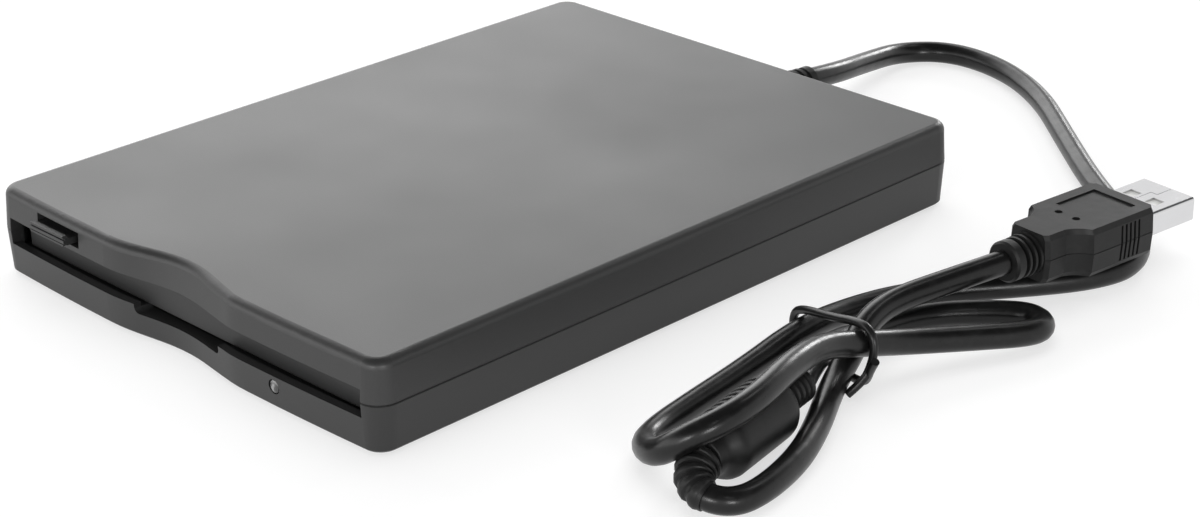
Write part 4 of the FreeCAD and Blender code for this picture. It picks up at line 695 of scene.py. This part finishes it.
def slideSprings():
    look = springLook
    wire, y, z = look["wire"], look["y"], look["z"]
    pickNothing()
    bpy.ops.mesh.primitive_circle_add(vertices=8, radius=wire * mm,
                                      location=(look["coil"] * mm, wire * mm, 0))
    model = bpy.context.object
    bpy.ops.object.transform_apply(location=True)
    wound(model, (look["length"] - 2 * wire) / look["turns"], look["turns"], 14)
    smooth(model, 60)
    for word, side in (("Right", 1), ("Left", -1)):
        spring = copyOf(model, "slideSpring" + word)
        setDown(spring, (look["x"] * side, y, z))
        standFor(spring, "slide_springs")
        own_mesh(spring)
    bpy.data.objects.remove(model)


leadLook = {
    "x": 17.0, "z": 8.6, "ends": (29.4, 51.0), "thread": (31.05, 48.0),
    "neck": 1.0, "core": 1.2, "chamfer": 0.2, "step": 0.02,
    # the thread's rib: its foot's and crest's widths, its middle from the thread's start
    "outer": 1.5, "pitch": 3.0, "foot": 1.4, "crest": 0.56, "middle": 0.75,
}


def leadScrew():
    look = leadLook
    (start, end), (low, high) = look["ends"], look["thread"]
    neck, core, chamfer, step = look["neck"], look["core"], look["chamfer"], look["step"]
    rod = turnedAlong("leadScrew", [
        (start, neck - chamfer), (start + chamfer, neck), (low, neck), (low + step, core),
        (high - step, core), (high, neck), (end - chamfer, neck), (end, neck - chamfer)], 40)
    pickNothing()
    middle = (low + look["middle"]) * mm
    bpy.ops.mesh.primitive_plane_add(size=look["foot"] * mm, location=(core * mm, middle, 0))
    thread = bpy.context.object
    bpy.ops.object.transform_apply(location=True)
    leaning = (look["foot"] - look["crest"]) / 2 * mm
    for point in thread.data.vertices:
        crest = point.co.x > core * mm
        point.co.x = (look["outer"] if crest else core - 0.1) * mm
        if crest:
            point.co.y += leaning if point.co.y < middle else -leaning
    wound(thread, look["pitch"], int((high - low) / look["pitch"]), 28)
    join(rod, thread)
    setDown(rod, (look["x"], 0, look["z"]))
    smooth(rod, 40)
    standFor(rod, "lead_screw", "screw")


screwLook = {
    "head": 2.5, "headHeight": 0.7, "shank": 1.18, "tip": (0.4, 0.35),
    "dome": [(0.0, 0.55), (0.08, 0.25), (0.28, 0.03), (0.45, 0.0)],  # height, and how far inside the rim
    "recess": (2.9, 0.62, 0.84),
    "turn": 20, "nextTurn": 37,  # degrees, so that no two recesses stand alike
    "sets": {
        "chassis_screws": {
            "from": 0.7, "to": 3.6, "at": [(40.0, 45.0), (-40.0, 45.0), (40.0, -45.0), (-40.0, -45.0)]},
        "cover_screws": {"from": 4.12, "to": 13.55, "at": [(44.0, 65.0), (-44.0, 65.0)]},
    },
}


def panScrew(reach):
    # a pan head with a crossed recess, its head down
    look = screwLook
    head, tall, shank = look["head"], look["headHeight"], look["shank"]
    tipLength, tipSlope = look["tip"]
    made = turnedAlong(
        "panScrew", [(y, head - inside) for y, inside in look["dome"]]
        + [(tall, head), (tall + 0.01, shank), (reach - tipLength, shank), (reach, shank - tipSlope)], 48)
    setDown(made, (0, 0, 0), (90, 0, 0))
    for turn in (0, 90):
        pickNothing()
        bpy.ops.mesh.primitive_cube_add(size=1, scale=[c * mm for c in look["recess"]])
        bar = bpy.context.object
        setDown(bar, (0, 0, 0), (0, 0, turn))
        cut = made.modifiers.new("recess", "BOOLEAN")
        cut.operation, cut.object, cut.solver = "DIFFERENCE", bar, "EXACT"
        bpy.context.view_layer.objects.active = made
        bpy.ops.object.modifier_apply(modifier="recess")
        bpy.data.objects.remove(bar)
    smooth(made, 30)
    return made


def screws():
    for node, look in screwLook["sets"].items():
        model = panScrew(look["to"] - look["from"])
        name = node.replace("_s", "S")
        for number, (x, y) in enumerate(look["at"]):
            screw = copyOf(model, name + str(number))
            setDown(screw, (x, y, look["from"]), (0, 0, screwLook["turn"] + screwLook["nextTurn"] * number))
            standFor(screw, node)
        bpy.data.objects.remove(model)


slideSprings()
leadScrew()
screws()
print("springs, lead screw and screws made")


studio = {
    "floor": 9.0, "paper": grey(0.82), "paperSeen": grey(0.36), "lift": 0.66, "world": 0.24,
    # reflections fall from white to overhead between these sines of the elevation
    "overhead": 0.06, "horizon": (0.42, 0.62),
    "lamps": {
        "key": {"at": (-0.15, 0.15, 1.25), "aim": (0.02, 0, 0), "size": (1.1, 1.1), "power": 6.6,
                "mirrored": False},
        "back": {"at": (-1.56, 0.66, 0.75), "aim": (0, 0, 0), "size": (1.9, 1.3), "power": 18.0},
        "front": {"at": (-0.50, -1.20, 0.30), "aim": (0, 0, 0), "size": (2.0, 0.6), "power": 7.0},
        "nearLeft": {"at": (0.43, -1.01, 0.28), "aim": (0.05, 0, 0), "size": (0.30, 0.14), "power": 3.6},
        "nearRight": {"at": (1.02, -0.41, 0.28), "aim": (0.05, 0, 0), "size": (0.30, 0.14), "power": 3.6},
        "farRight": {"at": (-0.34, 1.26, 0.45), "aim": (0.05, 0, 0), "size": (0.30, 0.20), "power": 4.0},
        "stripRight": {"at": (0.66, -0.23, 0.80), "aim": (0.05, 0, 0), "size": (0.12, 0.12), "power": 0.30},
        "stripRear": {"at": (0.06, 0.62, 0.82), "aim": (0.05, 0, 0), "size": (0.12, 0.12), "power": 0.30},
    },
}


def whiteFor(tree):
    # 1 where the camera looks straight at the surface, or sees it in a mirror or through glass
    path = tree.nodes.new("ShaderNodeLightPath")
    camera, mirror, glass = (
        Wire(tree, path.outputs["Is %s Ray" % kind]) for kind in ("Camera", "Glossy", "Transmission"))
    return (camera + mirror + glass).held()


def layFloor():
    # pale matt paper, lifted to white where it is seen, with the shadows kept
    bpy.ops.mesh.primitive_plane_add(size=studio["floor"])
    floor = bpy.context.object
    floor.name = "studioFloor"
    paper = Finish("paper", studio["paper"], 0.9)
    tree = paper.material.node_tree
    seen = whiteFor(tree)
    paper.set(Base_Color=paper.blend(seen, studio["paper"], studio["paperSeen"]))
    glow = paper.place.node("Emission", None, {"Strength": seen * studio["lift"]})
    both = paper.place.node("AddShader", None, {0: Wire(tree, paper.shader.outputs[0]), 1: glow})
    tree.links.new(both.socket, tree.nodes["Material Output"].inputs["Surface"])
    floor.data.materials.append(paper.material)


def hangLight(name, look):
    lamp = bpy.data.lights.new(name, "AREA")
    lamp.shape, lamp.size, lamp.size_y = "RECTANGLE", *look["size"]
    lamp.energy = look["power"]
    made = bpy.data.objects.new(name, lamp)
    made.location = look["at"]
    made.rotation_euler = (Vector(look["aim"]) - Vector(look["at"])).to_track_quat("-Z", "Y").to_euler()
    made.visible_glossy = look.get("mirrored", True)
    bpy.context.scene.collection.objects.link(made)


def setWorld():
    # even light on matt surfaces; a mirror sees a white horizon under a dim ceiling
    world = bpy.data.worlds.new("studio")
    bpy.context.scene.world = world
    world.use_nodes = True
    tree = world.node_tree
    background = tree.nodes["Background"]
    sky = Wire(tree, tree.nodes.new("ShaderNodeTexCoord").outputs["Generated"])
    height = sky.node("SeparateXYZ", None, {0: sky}, 2)
    ceiling = height.between(*studio["horizon"]).held()
    mirrored = 1 - ceiling * (1 - studio["overhead"])
    seen = whiteFor(tree)
    background.inputs["Color"].default_value = (1, 1, 1, 1)
    strength = seen * mirrored + (1 - seen) * studio["world"]
    tree.links.new(strength.socket, background.inputs["Strength"])


viewpoint = {"at": (332.5, -300.2, 198.8), "target": (36.85, -6.87, 9.6), "roll": -0.53, "lens": 80.17}


def placeCamera():
    optics = bpy.data.cameras.new("camera")
    optics.lens, optics.sensor_width = viewpoint["lens"], 36.0
    optics.clip_start, optics.clip_end = 0.01, 20
    camera = bpy.data.objects.new("camera", optics)
    place, target = Vector(viewpoint["at"]) * mm, Vector(viewpoint["target"]) * mm
    roll = Matrix.Rotation(math.radians(viewpoint["roll"]), 3, "Z")
    turn = (target - place).to_track_quat("-Z", "Y").to_matrix() @ roll
    camera.matrix_world = Matrix.Translation(place) @ turn.to_4x4()
    bpy.context.scene.collection.objects.link(camera)
    bpy.context.scene.camera = camera


layFloor()
for name, look in studio["lamps"].items():
    hangLight(name, look)
setWorld()
placeCamera()
bpy.context.scene.view_settings.view_transform = "Standard"
print("studio set")
